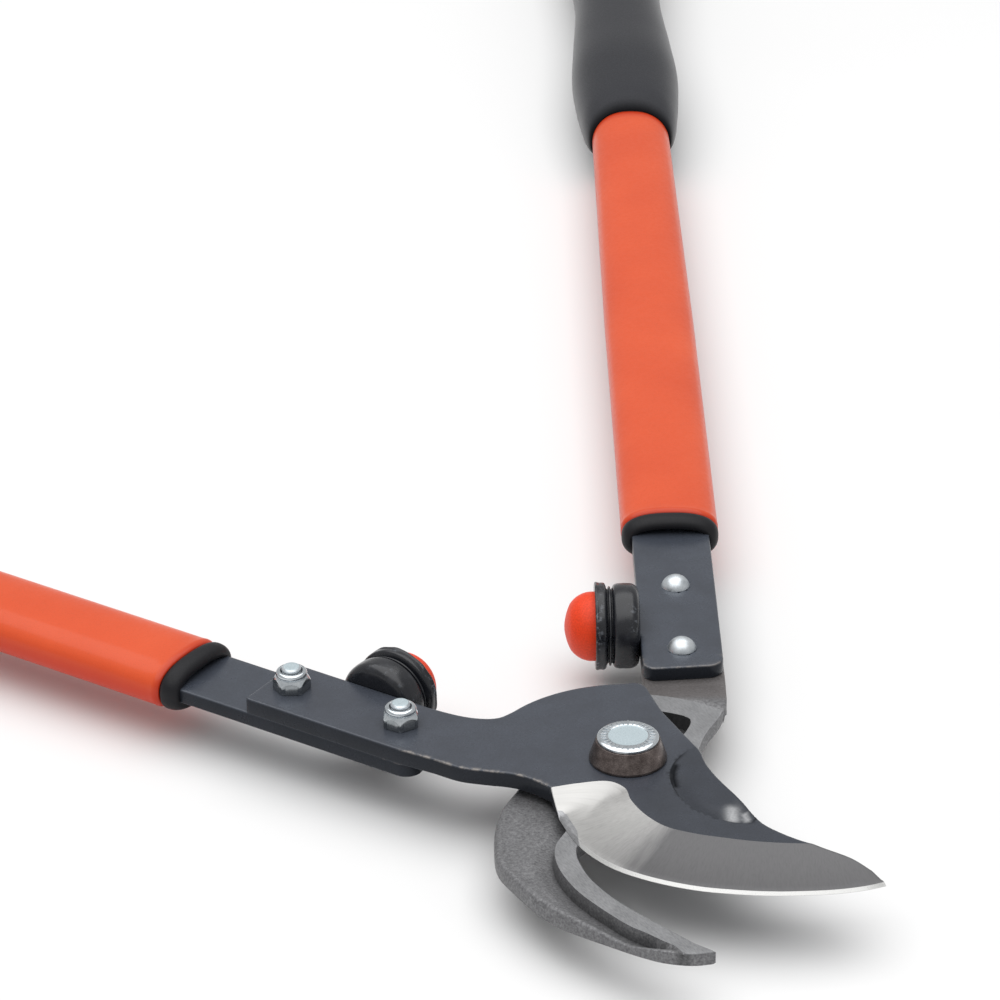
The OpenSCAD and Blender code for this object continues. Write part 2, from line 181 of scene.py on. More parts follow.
def gap(P, line, closed=False):
    """Distance of each point to a polyline, and how far along the line its nearest point is."""
    a = np.array(line, float)
    b = np.vstack([a[1:], a[:1]]) if closed else a[1:]
    a = a if closed else a[:-1]
    d = b - a
    length = np.maximum(np.linalg.norm(d, axis=1), 1e-9)
    start = np.concatenate([[0], np.cumsum(length)[:-1]])
    best, along = np.full(len(P), 1e9), np.zeros(len(P))
    for i in range(len(a)):
        t = np.clip(((P - a[i]) @ d[i]) / length[i] ** 2, 0, 1)
        g = np.linalg.norm(P - a[i] - t[:, None] * d[i], axis=1)
        near = g < best
        best[near] = g[near]
        along[near] = start[i] + t[near] * length[i]
    return best, along


def inside(P, poly):
    """Tells for each point whether it lies inside a polygon."""
    x, y = P[:, 0], P[:, 1]
    odd = np.zeros(len(P), bool)
    q = np.array(poly, float)
    for (x0, y0), (x1, y1) in zip(q, np.roll(q, -1, 0)):
        if y0 != y1:
            cross = (y0 > y) != (y1 > y)
            odd ^= cross & (x < (x1 - x0) * (y - y0) / (y1 - y0) + x0)
    return odd


def within(line, poly):
    """The points of a line that lie inside a polygon."""
    return line[inside(line, poly)]


def ease(x, lo, hi):
    """A smooth step from 0 at lo to 1 at hi."""
    t = np.clip((x - lo) / (hi - lo), 0, 1)
    return t * t * (3 - 2 * t)


def bell(x, middle, width):
    return np.exp(-((x - middle) / width) ** 2)


def blunt(x, power):
    """A power of x that keeps its sign."""
    return np.sign(x) * np.abs(x) ** power


def circle(n):
    return np.linspace(0, 2 * math.pi, n, endpoint=False)


def rounded(d, r):
    """How far a rounded edge of radius r falls at distance d from the outline."""
    r = np.maximum(r, 1e-6)
    x = np.clip(d, 0, r)
    return r - np.sqrt(np.maximum(r * r - (r - x) ** 2, 0))


# ----- Meshes


def placed(shape, place):
    """A shape (its vertices and faces) moved by a matrix, with its faces still outwards."""
    verts, faces = shape
    v = np.c_[np.array(verts, float), np.ones(len(verts))] @ np.array(place).T
    if place.determinant() < 0:
        faces = [tuple(reversed(f)) for f in faces]
    return [tuple(p) for p in v[:, :3]], faces


def add(name, data):
    obj = bpy.data.objects.new(name, data)
    bpy.context.collection.objects.link(obj)
    return obj


def piece(name, shape, place, body, nodes, slot, mats, zone=None, sharp=35.0, creases=None,
          attrs=None):
    """Makes one object from a shape in the frame that place maps to the shared frame."""
    verts, faces = placed(shape, place)
    mesh = bpy.data.meshes.new(name)
    mesh.from_pydata(verts, [], faces)
    mesh.validate()
    for m in mats:
        mesh.materials.append(m.m)
    if zone is not None:
        mesh.polygons.foreach_set("material_index", np.array(zone, np.int32))
    mesh.polygons.foreach_set("use_smooth", np.ones(len(mesh.polygons), bool))
    mesh.set_sharp_from_angle(angle=math.radians(sharp))
    if creases:
        flags = mesh.attributes.get("sharp_edge")
        flags = flags or mesh.attributes.new("sharp_edge", "BOOLEAN", "EDGE")
        for e in mesh.edges:
            if tuple(sorted(e.vertices)) in creases:
                flags.data[e.index].value = True
    for key, values in (attrs or {}).items():
        values = np.array(values, np.float32)
        kind = "FLOAT_VECTOR" if values.ndim == 2 else "FLOAT"
        a = mesh.attributes.new(key, kind, "POINT")
        a.data.foreach_set("vector" if values.ndim == 2 else "value", values.ravel())
    obj = add(name, mesh)
    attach(obj, body)
    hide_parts(*nodes)


def side_piece(side, name, shape, place, node, slot, mats, **more):
    """Makes one of the pieces that each half has."""
    piece(side + "_" + name, shape, place, BODY[side], [side + "_" + node], slot, mats, **more)


def merge(parts):
    """Joins shapes, each with its own place, into one."""
    verts, faces = [], []
    for shape, place in parts:
        n = len(verts)
        v, f = placed(shape, place)
        verts += v
        faces += [tuple(i + n for i in q) for q in f]
    return verts, faces


def skin(rings, ends=(True, True)):
    """Skin over rings of equal length; each ring runs anticlockwise seen from the last."""
    n, m = len(rings[0]), len(rings)
    verts = np.vstack(rings)
    faces = []
    for i in range(m - 1):
        for j in range(n):
            k = (j + 1) % n
            faces.append((i * n + j, i * n + k, (i + 1) * n + k, (i + 1) * n + j))
    if ends[0]:
        faces.append(tuple(range(n - 1, -1, -1)))
    if ends[1]:
        faces.append(tuple((m - 1) * n + j for j in range(n)))
    return verts, faces


def lathe(profile, n=96, ripple=None):
    """Turns a profile of (r, z) points round Z, from the bottom of the axis to its top."""
    a = circle(n)
    rings = []
    for r, z in profile:
        rr = np.full(n, max(r, 1e-3)) + (ripple(a, r, z) if ripple else 0)
        rings.append(np.stack([rr * np.cos(a), rr * np.sin(a), np.full(n, z)], 1))
    return skin(rings)


def fillet(profile, r, steps=5):
    """Rounds the corners of a profile with radius r, less where there is no room."""
    p = [np.array(q, float) for q in profile]
    out = [p[0]]
    for a, b, c in zip(p, p[1:], p[2:]):
        u, w = a - b, c - b
        lu, lw = np.linalg.norm(u), np.linalg.norm(w)
        u, w = u / lu, w / lw
        half = math.acos(max(-1, min(1, float(u @ w)))) / 2
        if half > math.radians(86):
            out.append(b)
            continue
        cut = min(r / math.tan(half), 0.48 * lu, 0.48 * lw)
        s, e = b + u * cut, b + w * cut
        for k in range(steps + 1):
            t = k / steps
            out.append((1 - t) ** 2 * s + 2 * t * (1 - t) * b + t * t * e)
    out.append(p[-1])
    return [tuple(q) for q in out]


def plate(outline, top, bottom, holes=(), lines=(), step=1.2, edge=0.5, zone=None, walls_in=None):
    """A plate with its own relief: top and bottom give z at points P, d from the edge.

    lines are (points, closed, crisp) features that the mesh follows. Returns vertices, faces,
    the faces' material numbers and the crisp edges.
    """
    outline = densify(outline, min(step, 0.8))
    rings = [outline] + [arc((x, y), r, 0, 360 * 47 / 48, 47) for x, y, r in holes]
    coords, edges, crisp_ids = [], [], set()

    def add_line(p, closed, crisp):
        start = sum(len(c) for c in coords)
        coords.append(p)
        for i in range(len(p) if closed else len(p) - 1):
            if crisp:
                crisp_ids.add(len(edges))
            edges.append((start + i, start + (i + 1) % len(p)))

    for ring in rings:
        add_line(ring, True, False)
    kept_lines = []
    for p, closed, crisp in lines:
        p = densify(p, min(step, 0.9), closed)
        kept_lines.append((p, closed))
        add_line(p, closed, crisp)
    tangent = np.roll(outline, -1, 0) - np.roll(outline, 1, 0)
    normal = np.stack([-tangent[:, 1], tangent[:, 0]], 1)
    normal /= np.maximum(np.linalg.norm(normal, axis=1), 1e-9)[:, None]
    for k in (0.15, 0.5, 1.0):
        ring = outline + normal * k * edge
        coords.append(ring[gap(ring, outline, True)[0] > 0.9 * k * edge])
    lo, hi = outline.min(0), outline.max(0)
    gx, gy = np.meshgrid(np.arange(lo[0], hi[0], step), np.arange(lo[1], hi[1], step * 0.866))
    gx = gx + (np.arange(gx.shape[0]) % 2)[:, None] * step / 2
    g = within(np.stack([gx.ravel(), gy.ravel()], 1), outline)
    g = g[gap(g, outline, True)[0] > max(edge * 1.3, 0.5 * step)]
    for p, closed in kept_lines:
        g = g[gap(g, p, closed)[0] > 0.4 * step]
    coords.append(g)
    flat = np.vstack(coords)
    v, e, f, _, origin, _ = delaunay_2d_cdt([Vector(c) for c in flat], edges, [], 0, 1e-6)
    P = np.array([(q.x, q.y) for q in v])
    f = np.array(f)
    c = P[f].mean(1)
    keep = inside(c, outline)
    for ring in rings[1:]:
        keep &= ~inside(c, ring)
    f, c = f[keep], c[keep]
    d = np.min([gap(P, ring, True)[0] for ring in rings], 0)
    n = len(P)
    verts = np.vstack([np.c_[P, top(P, d)], np.c_[P, bottom(P, d)]])
    faces = [tuple(t) for t in f] + [tuple(i + n for i in reversed(t)) for t in f]
    seen = dict.fromkeys((t[i], t[(i + 1) % 3]) for t in f for i in range(3))
    walls = [(a, b) for a, b in seen if (b, a) not in seen]
    faces += [(b, a, a + n, b + n) for a, b in walls]
    creases = {tuple(sorted(p)) for p, ids in zip(e, origin) if crisp_ids & set(ids)}
    zones = np.zeros(len(faces), int)
    if zone is not None:
        zones[:len(f)] = zone(c)
        middle = (P[[a for a, _ in walls]] + P[[b for _, b in walls]]) / 2
        zones[2 * len(f):] = walls_in(middle) if walls_in else 0
    used = np.zeros(2 * n, bool)
    for q in faces:
        used[list(q)] = True
    index = np.cumsum(used) - 1
    faces = [tuple(int(index[i]) for i in q) for q in faces]
    creases = {tuple(sorted((int(index[a]), int(index[b])))) for a, b in creases
               if used[a] and used[b]}
    return verts[used], faces, zones, creases


def side_oval(a, b, y, n=96, power=2.5):
    """A rounded oval across the handle, anticlockwise seen from the far end of the handle."""
    t = circle(n)
    x = a * blunt(np.cos(t), 2 / power)
    z = b * blunt(np.sin(t), 2 / power)
    return np.stack([x, np.full(n, 1.0) * y, z], 1)[::-1]


# ----- Materials


class Mat:
    """A node material. Node inputs are given by name, as values or as sockets to link."""

    def __init__(self, name, **values):
        self.m = bpy.data.materials.new(name)
        self.m.use_nodes = True
        self.tree = self.m.node_tree
        self.shader = self.tree.nodes["Principled BSDF"]
        self.points = self.node("ShaderNodeTexCoord").outputs["Object"]
        self.bumps = None
        self.set(**values)

    def set(self, **values):
        for key, value in values.items():
            self.put(self.shader.inputs[key.replace("_", " ")], value)

    def put(self, socket, value):
        if isinstance(value, bpy.types.NodeSocket):
            self.tree.links.new(value, socket)
        elif socket.type == "RGBA" and len(value) == 3:
            socket.default_value = (*value, 1)
        else:
            socket.default_value = value

    def node(self, kind, ins=None, **props):
        n = self.tree.nodes.new(kind)
        for key, value in props.items():
            setattr(n, key, value)
        for key, value in (ins or {}).items():
            self.put(n.inputs[key], value)
        return n

    def attribute(self, name, vector=False):
        n = self.node("ShaderNodeAttribute", attribute_name=name)
        return n.outputs["Vector" if vector else "Fac"]

    def stretch(self, points, scale):
        return self.node("ShaderNodeMapping", {"Vector": points, "Scale": scale}).outputs[0]

    def noise(self, size_mm, detail=3.0, rough=0.55, points=None):
        """Noise whose largest features are about size_mm across."""
        return self.node("ShaderNodeTexNoise", {
            "Vector": points or self.points, "Scale": 1000 / size_mm, "Detail": detail,
            "Roughness": rough}).outputs["Fac"]

    def ramp(self, fac, *stops):
        n = self.node("ShaderNodeValToRGB", {"Fac": fac})
        ramp = n.color_ramp
        while len(ramp.elements) < len(stops):
            ramp.elements.new(0.5)
        for element, (at, colour) in zip(ramp.elements, stops):
            element.position = at
            colour = colour if hasattr(colour, "__len__") else (colour,) * 3
            element.color = (*colour, 1)
        return n.outputs["Color"]

    def span(self, fac, lo, hi, a, b):
        """Maps fac from lo..hi to a..b."""
        return self.node("ShaderNodeMapRange", {
            "Value": fac, "From Min": lo, "From Max": hi, "To Min": a, "To Max": b}).outputs[0]

    def mix(self, fac, a, b, kind="MIX"):
        n = self.node("ShaderNodeMix", data_type="RGBA", blend_type=kind)
        self.put(n.inputs["Factor"], fac)
        self.put(n.inputs[6], a)
        self.put(n.inputs[7], b)
        return n.outputs[2]

    def finish(self, colour, fac, lo, hi, rough_lo, rough_hi):
        self.set(Base_Color=colour, Roughness=self.span(fac, lo, hi, rough_lo, rough_hi))

    def times(self, a, b):
        return self.mix(1.0, a, b, "MULTIPLY")

    def by(self, name, a, b):
        """Maps an attribute's 0..1 to a..b."""
        return self.span(self.attribute(name), 0.0, 1.0, a, b)

    def bump(self, height, depth_mm, strength=1.0):
        """Adds a bump of about depth_mm to those before it."""
        ins = {"Height": height, "Strength": strength, "Distance": depth_mm / 1000}
        if self.bumps:
            ins["Normal"] = self.bumps
        self.bumps = self.node("ShaderNodeBump", ins).outputs[0]
        self.set(Normal=self.bumps)


def phosphate(name, base, shaded=False):
    """Dark blue-grey phosphated steel, finely pitted, with painted shade on cut sides, abraded
    edges and a painted edge highlight; shaded adds painted shade and highlights.
    """
    m = Mat(name, Metallic=0.15, IOR=1.5)
    blotch = m.noise(11.0, 4, 0.6)
    fine = m.noise(0.45, 2, 0.5)
    colour = m.ramp(blotch, (0.28, tuple(c * 0.84 for c in base)), (0.52, base),
                    (0.78, tuple(c * 1.16 for c in base)))
    colour = m.times(colour, m.ramp(fine, (0.30, 0.84), (0.5, 1.0), (0.72, 1.15)))
    # Painted shade: the cut sides, where rim falls to 0, are darker and reflect less
    side = m.by("rim", 0.38, 1.0)
    colour = m.times(colour, side)
    if shaded:
        # Painted shade from the shade attribute, then pale mottled painted highlights at the spots
        # the blade marks
        colour = m.times(colour, m.by("shade", 1.0, 0.12))
        highlight_mask = m.ramp(m.noise(0.8, 3, 0.6), (0.25, 0.65), (0.7, 1.0))
        highlight_mask = m.times(m.attribute("painted_highlight"), highlight_mask)
        colour = m.mix(highlight_mask, colour, (0.40, 0.405, 0.415))
    patchy = m.ramp(m.noise(2.5, 4, 0.7), (0.44, 0.0), (0.58, 1.0))
    wear_and_sheen = m.times(m.attribute("wear_and_glint"), patchy)
    colour = m.mix(wear_and_sheen, colour, (0.22, 0.20, 0.185))
    m.finish(colour, blotch, 0.3, 0.75, 0.32, 0.24)
    level = m.by("rim", 0.15, 0.5)
    if shaded:
        dim = m.by("shade", 1.0, 0.05)
        level = m.node("ShaderNodeMath", {0: level, 1: dim}, operation="MULTIPLY").outputs[0]
    m.set(Specular_IOR_Level=level)
    m.bump(fine, 0.012, 0.45)
    m.bump(m.noise(2.6, 3, 0.6), 0.006, 0.25)
    return m


def ground_steel(name, heel, far, rough, streak_mm=0.5):
    """Ground steel: streaks across the edge, with a painted highlight near the heel that gives way
    to darker steel further along.
    """
    m = Mat(name, Metallic=0.75, Anisotropic=0.4)
    grain = m.attribute("grain", True)
    fine = m.noise(1000 * streak_mm, 3, 0.65, m.stretch(grain, (1.0, 0.03, 1.0)))
    broad = m.noise(6000.0, 3, 0.6, m.stretch(grain, (1.0, 0.06, 1.0)))
    along = m.node("ShaderNodeSeparateXYZ", {"Vector": grain}).outputs["X"]
    wander = m.span(broad, 0.2, 0.8, -5.0, 5.0)
    along = m.node("ShaderNodeMath", {0: along, 1: wander}, operation="ADD").outputs[0]
    # Colour runs from a painted highlight at the heel to darker steel further along the edge
    middle = tuple((a + b) / 2 for a, b in zip(heel, far))
    colour = m.ramp(m.span(along, 0.0, 100.0, 0.0, 1.0), (0.06, heel), (0.29, middle), (0.41, far))
    colour = m.times(colour, m.ramp(fine, (0.25, 0.86), (0.5, 1.0), (0.78, 1.12)))
    m.finish(colour, fine, 0.2, 0.8, rough - 0.06, rough + 0.08)
    m.bump(fine, 0.008, 0.35)
    return m


def forging():
    """Forged steel: a coarse grey grain, with painted shade in its hollows, brownish on the tail.
    """
    m = Mat("forged_steel", Metallic=0.35)
    grain = m.noise(0.75, 4, 0.7)
    coarse = m.noise(6.0, 3, 0.6)
    colour = m.ramp(grain, (0.30, (0.086, 0.086, 0.090)), (0.5, (0.156, 0.156, 0.162)),
                    (0.70, (0.235, 0.235, 0.240)))
    colour = m.times(colour, m.ramp(coarse, (0.3, 0.88), (0.7, 1.06)))
    colour = m.mix(m.by("brown", 0.0, 0.5), colour, (0.10, 0.082, 0.074))
    # Painted shade: near black in the valley beside the land and in the pocket
    colour = m.mix(m.by("hollow", 0.0, 0.88), colour,
                   (0.014, 0.014, 0.015))
    m.finish(colour, grain, 0.3, 0.7, 0.62, 0.46)
    m.bump(grain, 0.08, 0.6)
    m.bump(coarse, 0.08, 0.2)
    return m


def land_steel():
    """The machined land: flat, finely ground, mid grey."""
    m = Mat("land_steel", Metallic=0.75, Anisotropic=0.3)
    fine = m.noise(0.35, 3, 0.6, m.stretch(m.points, (1.0, 0.22, 1.0)))
    broad = m.noise(8.0, 2, 0.5)
    colour = m.ramp(fine, (0.25, (0.235, 0.237, 0.245)), (0.5, (0.325, 0.328, 0.338)),
                    (0.75, (0.415, 0.418, 0.428)))
    colour = m.times(colour, m.ramp(broad, (0.3, 0.88), (0.7, 1.06)))
    m.finish(colour, fine, 0.3, 0.7, 0.40, 0.30)
    m.bump(fine, 0.012, 0.4)
    return m


def zinc(name, rough, tone=1.0):
    """Bright zinc plate, slightly blue."""
    m = Mat(name, Metallic=0.95)
    fine = m.noise(0.5, 3, 0.6)
    patch = m.noise(2.6, 3, 0.6)
    colour = m.ramp(patch, (0.3, (0.50, 0.54, 0.57)), (0.55, (0.64, 0.68, 0.71)),
                    (0.8, (0.74, 0.77, 0.79)))
    colour = m.times(colour, m.ramp(fine, (0.3, 0.94 * tone), (0.7, tone)))
    m.finish(colour, fine, 0.3, 0.7, rough - 0.04, rough + 0.05)
    m.bump(fine, 0.004, 0.4)
    m.bump(patch, 0.010, 0.3)
    return m


def pale_zinc():
    """Rolled ends of bolts and the middle of the pivot's head: matt, pale blue."""
    m = Mat("zinc_matt", Metallic=0.35)
    fine = m.noise(0.4, 3, 0.6)
    colour = m.ramp(fine, (0.3, (0.36, 0.42, 0.45)), (0.5, (0.44, 0.52, 0.55)),
                    (0.75, (0.54, 0.61, 0.64)))
    m.finish(colour, fine, 0.3, 0.7, 0.55, 0.40)
    m.bump(fine, 0.02, 0.4)
    return m


def burnished():
    """The cone washer: brown burnished steel with a fine grain."""
    m = Mat("cone_steel", Metallic=0.9)
    turned = m.noise(0.5, 2, 0.6, m.stretch(m.points, (0.5, 0.5, 3.0)))
    grain = m.noise(0.35, 2, 0.6)
    patch = m.noise(3.0, 3, 0.6)
    colour = m.ramp(patch, (0.3, (0.085, 0.068, 0.063)), (0.55, (0.140, 0.115, 0.108)),
                    (0.8, (0.22, 0.185, 0.172)))
    colour = m.times(colour, m.ramp(grain, (0.3, 0.70), (0.5, 1.0), (0.7, 1.35)))
    m.finish(colour, turned, 0.3, 0.7, 0.24, 0.36)
    m.bump(turned, 0.006, 0.5)
    m.bump(grain, 0.012, 0.5)
    return m


def rubber():
    """Semi-gloss black rubber with mottled painted highlights on the flange's edge and round the
    back of the cup.
    """
    m = Mat("cup_rubber", Specular_IOR_Level=0.5)
    patch = m.noise(5.0, 4, 0.65)
    fine = m.noise(0.35, 2, 0.5)
    sheen_mottle = m.ramp(m.noise(2.4, 4, 0.7), (0.56, 0.0), (0.66, 1.0))
    colour = m.ramp(patch, (0.3, (0.006, 0.007, 0.010)), (0.6, (0.011, 0.012, 0.016)),
                    (0.8, (0.028, 0.031, 0.038)))
    colour = m.mix(m.times(sheen_mottle, m.attribute("wear_and_sheen")), colour, (0.16, 0.175, 0.20))
    m.finish(colour, patch, 0.3, 0.75, 0.20, 0.36)
    m.bump(fine, 0.02, 0.35)
    m.bump(m.noise(2.2, 3, 0.6), 0.09, 0.35)
    return m


def moulded(name, base, rough, grain_mm, depth_mm, tint=0.12, nose=False, **values):
    """Moulded plastic with an even spark-eroded grain."""
    m = Mat(name, **values)
    grain = m.noise(grain_mm, 2, 0.5)
    cloud = m.noise(22.0, 3, 0.5)
    colour = m.ramp(grain, (0.3, tuple(c * (1 - tint) for c in base)), (0.5, base),
                    (0.7, tuple(min(1, c * (1 + tint)) for c in base)))
    colour = m.times(colour, m.ramp(cloud, (0.3, 0.93), (0.7, 1.04)))
    m.finish(colour, grain, 0.3, 0.7, rough + 0.05, rough - 0.05)
    # Painted shade: darker and less glossy close to the grip's mouth, where nose is low
    if nose:
        dim = m.by("nose", 0.25, 1.0)
        m.set(Base_Color=m.times(colour, dim),
              Specular_IOR_Level=m.by("nose", 0.04, 0.35))
    m.bump(grain, depth_mm, 0.5)
    return m


def paint():
    """Gloss orange powder coat: orange peel, with painted shade on its underside, at the tube's end
    and at the grip's mouth.
    """
    m = Mat("orange_paint", Coat_Weight=0.20, Coat_Roughness=0.12, Specular_IOR_Level=0.2)
    peel = m.noise(1.5, 2, 0.5)
    cloud = m.noise(30.0, 3, 0.5)
    speck = m.noise(0.4, 2, 0.5)
    colour = m.ramp(cloud, (0.3, (0.61, 0.072, 0.018)), (0.6, (0.65, 0.083, 0.022)),
                    (0.8, (0.68, 0.093, 0.026)))
    colour = m.times(colour, m.ramp(speck, (0.25, 0.90), (0.45, 1.0), (0.8, 1.03)))
    # Painted shade: deeper red on the tube's underside and where rim falls to 0
    under = m.by("under", 0.0, 0.85)
    colour = m.mix(under, colour, (0.55, 0.030, 0.005))
    rim = m.by("rim", 0.85, 0.0)
    colour = m.mix(rim, colour, (0.42, 0.020, 0.003))
    m.finish(colour, peel, 0.3, 0.7, 0.36, 0.46)
    m.bump(peel, 0.02, 0.35)
    m.bump(speck, 0.008, 0.3)
    return m


blade_mat = phosphate("blade_steel", (0.049, 0.056, 0.072), True)
bar_mat = phosphate("bar_steel", (0.050, 0.058, 0.075))
# Painted highlight: the bevel and the hone are pale at the heel and darker further along the edge
bevel_mat = ground_steel("blade_bevel", (0.455, 0.45, 0.44), (0.104, 0.103, 0.106), 0.36)
hone_mat = ground_steel("blade_hone", (0.60, 0.60, 0.59), (0.52, 0.52, 0.51), 0.30, 0.25)
forged_mat = forging()
land_mat = land_steel()
zinc_mat = zinc("zinc_steel", 0.17)
satin_mat = zinc("zinc_satin", 0.42)
# A darker copy of the zinc, as painted shade on the nuts' flats
shaded_flats_mat = zinc("zinc_shaded_flats", 0.19, 0.48)
matt_mat = pale_zinc()
cone_mat = burnished()
rubber_mat = rubber()
ring_mat = moulded("nylon_ring", (0.045, 0.050, 0.060), 0.42, 0.4, 0.02)
plug_mat = moulded("orange_plug", (0.74, 0.048, 0.008), 0.48, 0.5, 0.02,
                   Specular_IOR_Level=0.3)
ferrule_mat = moulded("ferrule_plastic", (0.009, 0.009, 0.011), 0.50, 0.45, 0.012,
                      Specular_IOR_Level=0.22)
grip_mat = moulded("grip_plastic", (0.013, 0.014, 0.019), 0.55, 0.55, 0.03,
                   nose=True, Sheen_Weight=0.26, Sheen_Roughness=0.35, Specular_IOR_Level=0.35)
paint_mat = paint()

# ----- Cutting blade

NEAR_EDGE = [(-31.5, 72), (-31.4, 58), (-30.6, 47), (-30.3, 38), (-27.9, 30.5), (-25.2, 23.5),
             (-24.5, 17), (-25.5, 9.8)]
CUTTING_EDGE = [(-32, 2.8), (-38.3, -5.5), (-42.9, -13.5), (-45.9, -24.4), (-45.7, -36.5),
                (-43.1, -48.8), (-38.9, -59.1), (-33.4, -69.4), (-25.3, -80.8), (-18.5, -88),
                (-12.9, -92.2)]
SPINE = [(-12.9, -92.2), (-10.7, -86.5), (-10, -79.5), (-11.2, -70.5), (-11.6, -62),
         (-10.2, -52.4), (-7.3, -46.5), (-3.5, -41), (-0.5, -36.2), (2.4, -31), (5.2, -26.3),
         (8.4, -21.8), (11, -18.8), (13.8, -16.1), (15.9, -13.4), (19.9, -6.8), (23.5, -1.2),
         (28.2, 6.2), (34.1, 13.4), (36.9, 16.8)]
INNER_EDGE = [(4.4, 42.4), (-0.8, 44), (-4, 48.2), (-6, 54.8), (-6.9, 64)]
BEVEL_TOP = [(-26.3, 11.2), (-25.4, 9.7), (-19.6, 4.6), (-14, -1.9), (-14.5, -8.1),
             (-19.2, -13.2), (-23.4, -20.3), (-25.8, -28.5), (-24.8, -37), (-22.2, -45.5),
             (-18.8, -54.6), (-14.5, -63), (-9.6, -71), (-4, -79), (2, -87)]
BEVEL_EDGE = [(-33, 3.9), (-32, 2.8), (-35.2, -1.5), (-38.3, -5.5), (-42.1, -12),
              (-44.8, -19.5), (-46, -27), (-45.8, -35.6), (-44.1, -45), (-41.2, -54),
              (-37.2, -62.6), (-32.4, -71), (-26.2, -79.7), (-18.5, -88), (-11.5, -93.2)]
# Rim of the shallow scoop beside the spine, and the two spots of painted highlight at its far end
SCOOP = [(20, -14.5), (15.3, -12.8), (12.1, -12), (7.7, -12), (4.1, -12.5), (1, -13.5),
         (-1.4, -14.7), (-4.4, -16.9), (-8, -20.6), (-10.6, -24), (-12.4, -27.3), (-13.7, -31),
         (-14.4, -35.1), (-14.5, -39.1), (-14, -42.8), (-13.1, -45.6), (-11.7, -47.6),
         (-10, -48.4), (-8.2, -48), (-6.6, -46.4), (-4, -44)]
HIGHLIGHT_SPOTS = [([(-7.4, -39.4), (-11.4, -41.9)], 1.9), ([(-7.6, -43.5), (-9.7, -45.4)], 0.9)]


def bolt_y(side):
    """Where the two tang bolts are along the handle."""
    return [FIRST_BOLT[side] + BOLT_PITCH * i for i in (0, 1)]


def holes(side, x):
    """The pivot's hole and the two tang bolts', as (x, y, radius)."""
    return [(0, 0, PIVOT_HOLE_R)] + [(x, y, BOLT_HOLE_R) for y in bolt_y(side)]


def heel_width(run):
    """Width of the plain strip left along the heel, at this distance along the edge."""
    return 2.2 * ease(17 - run, 0, 9)


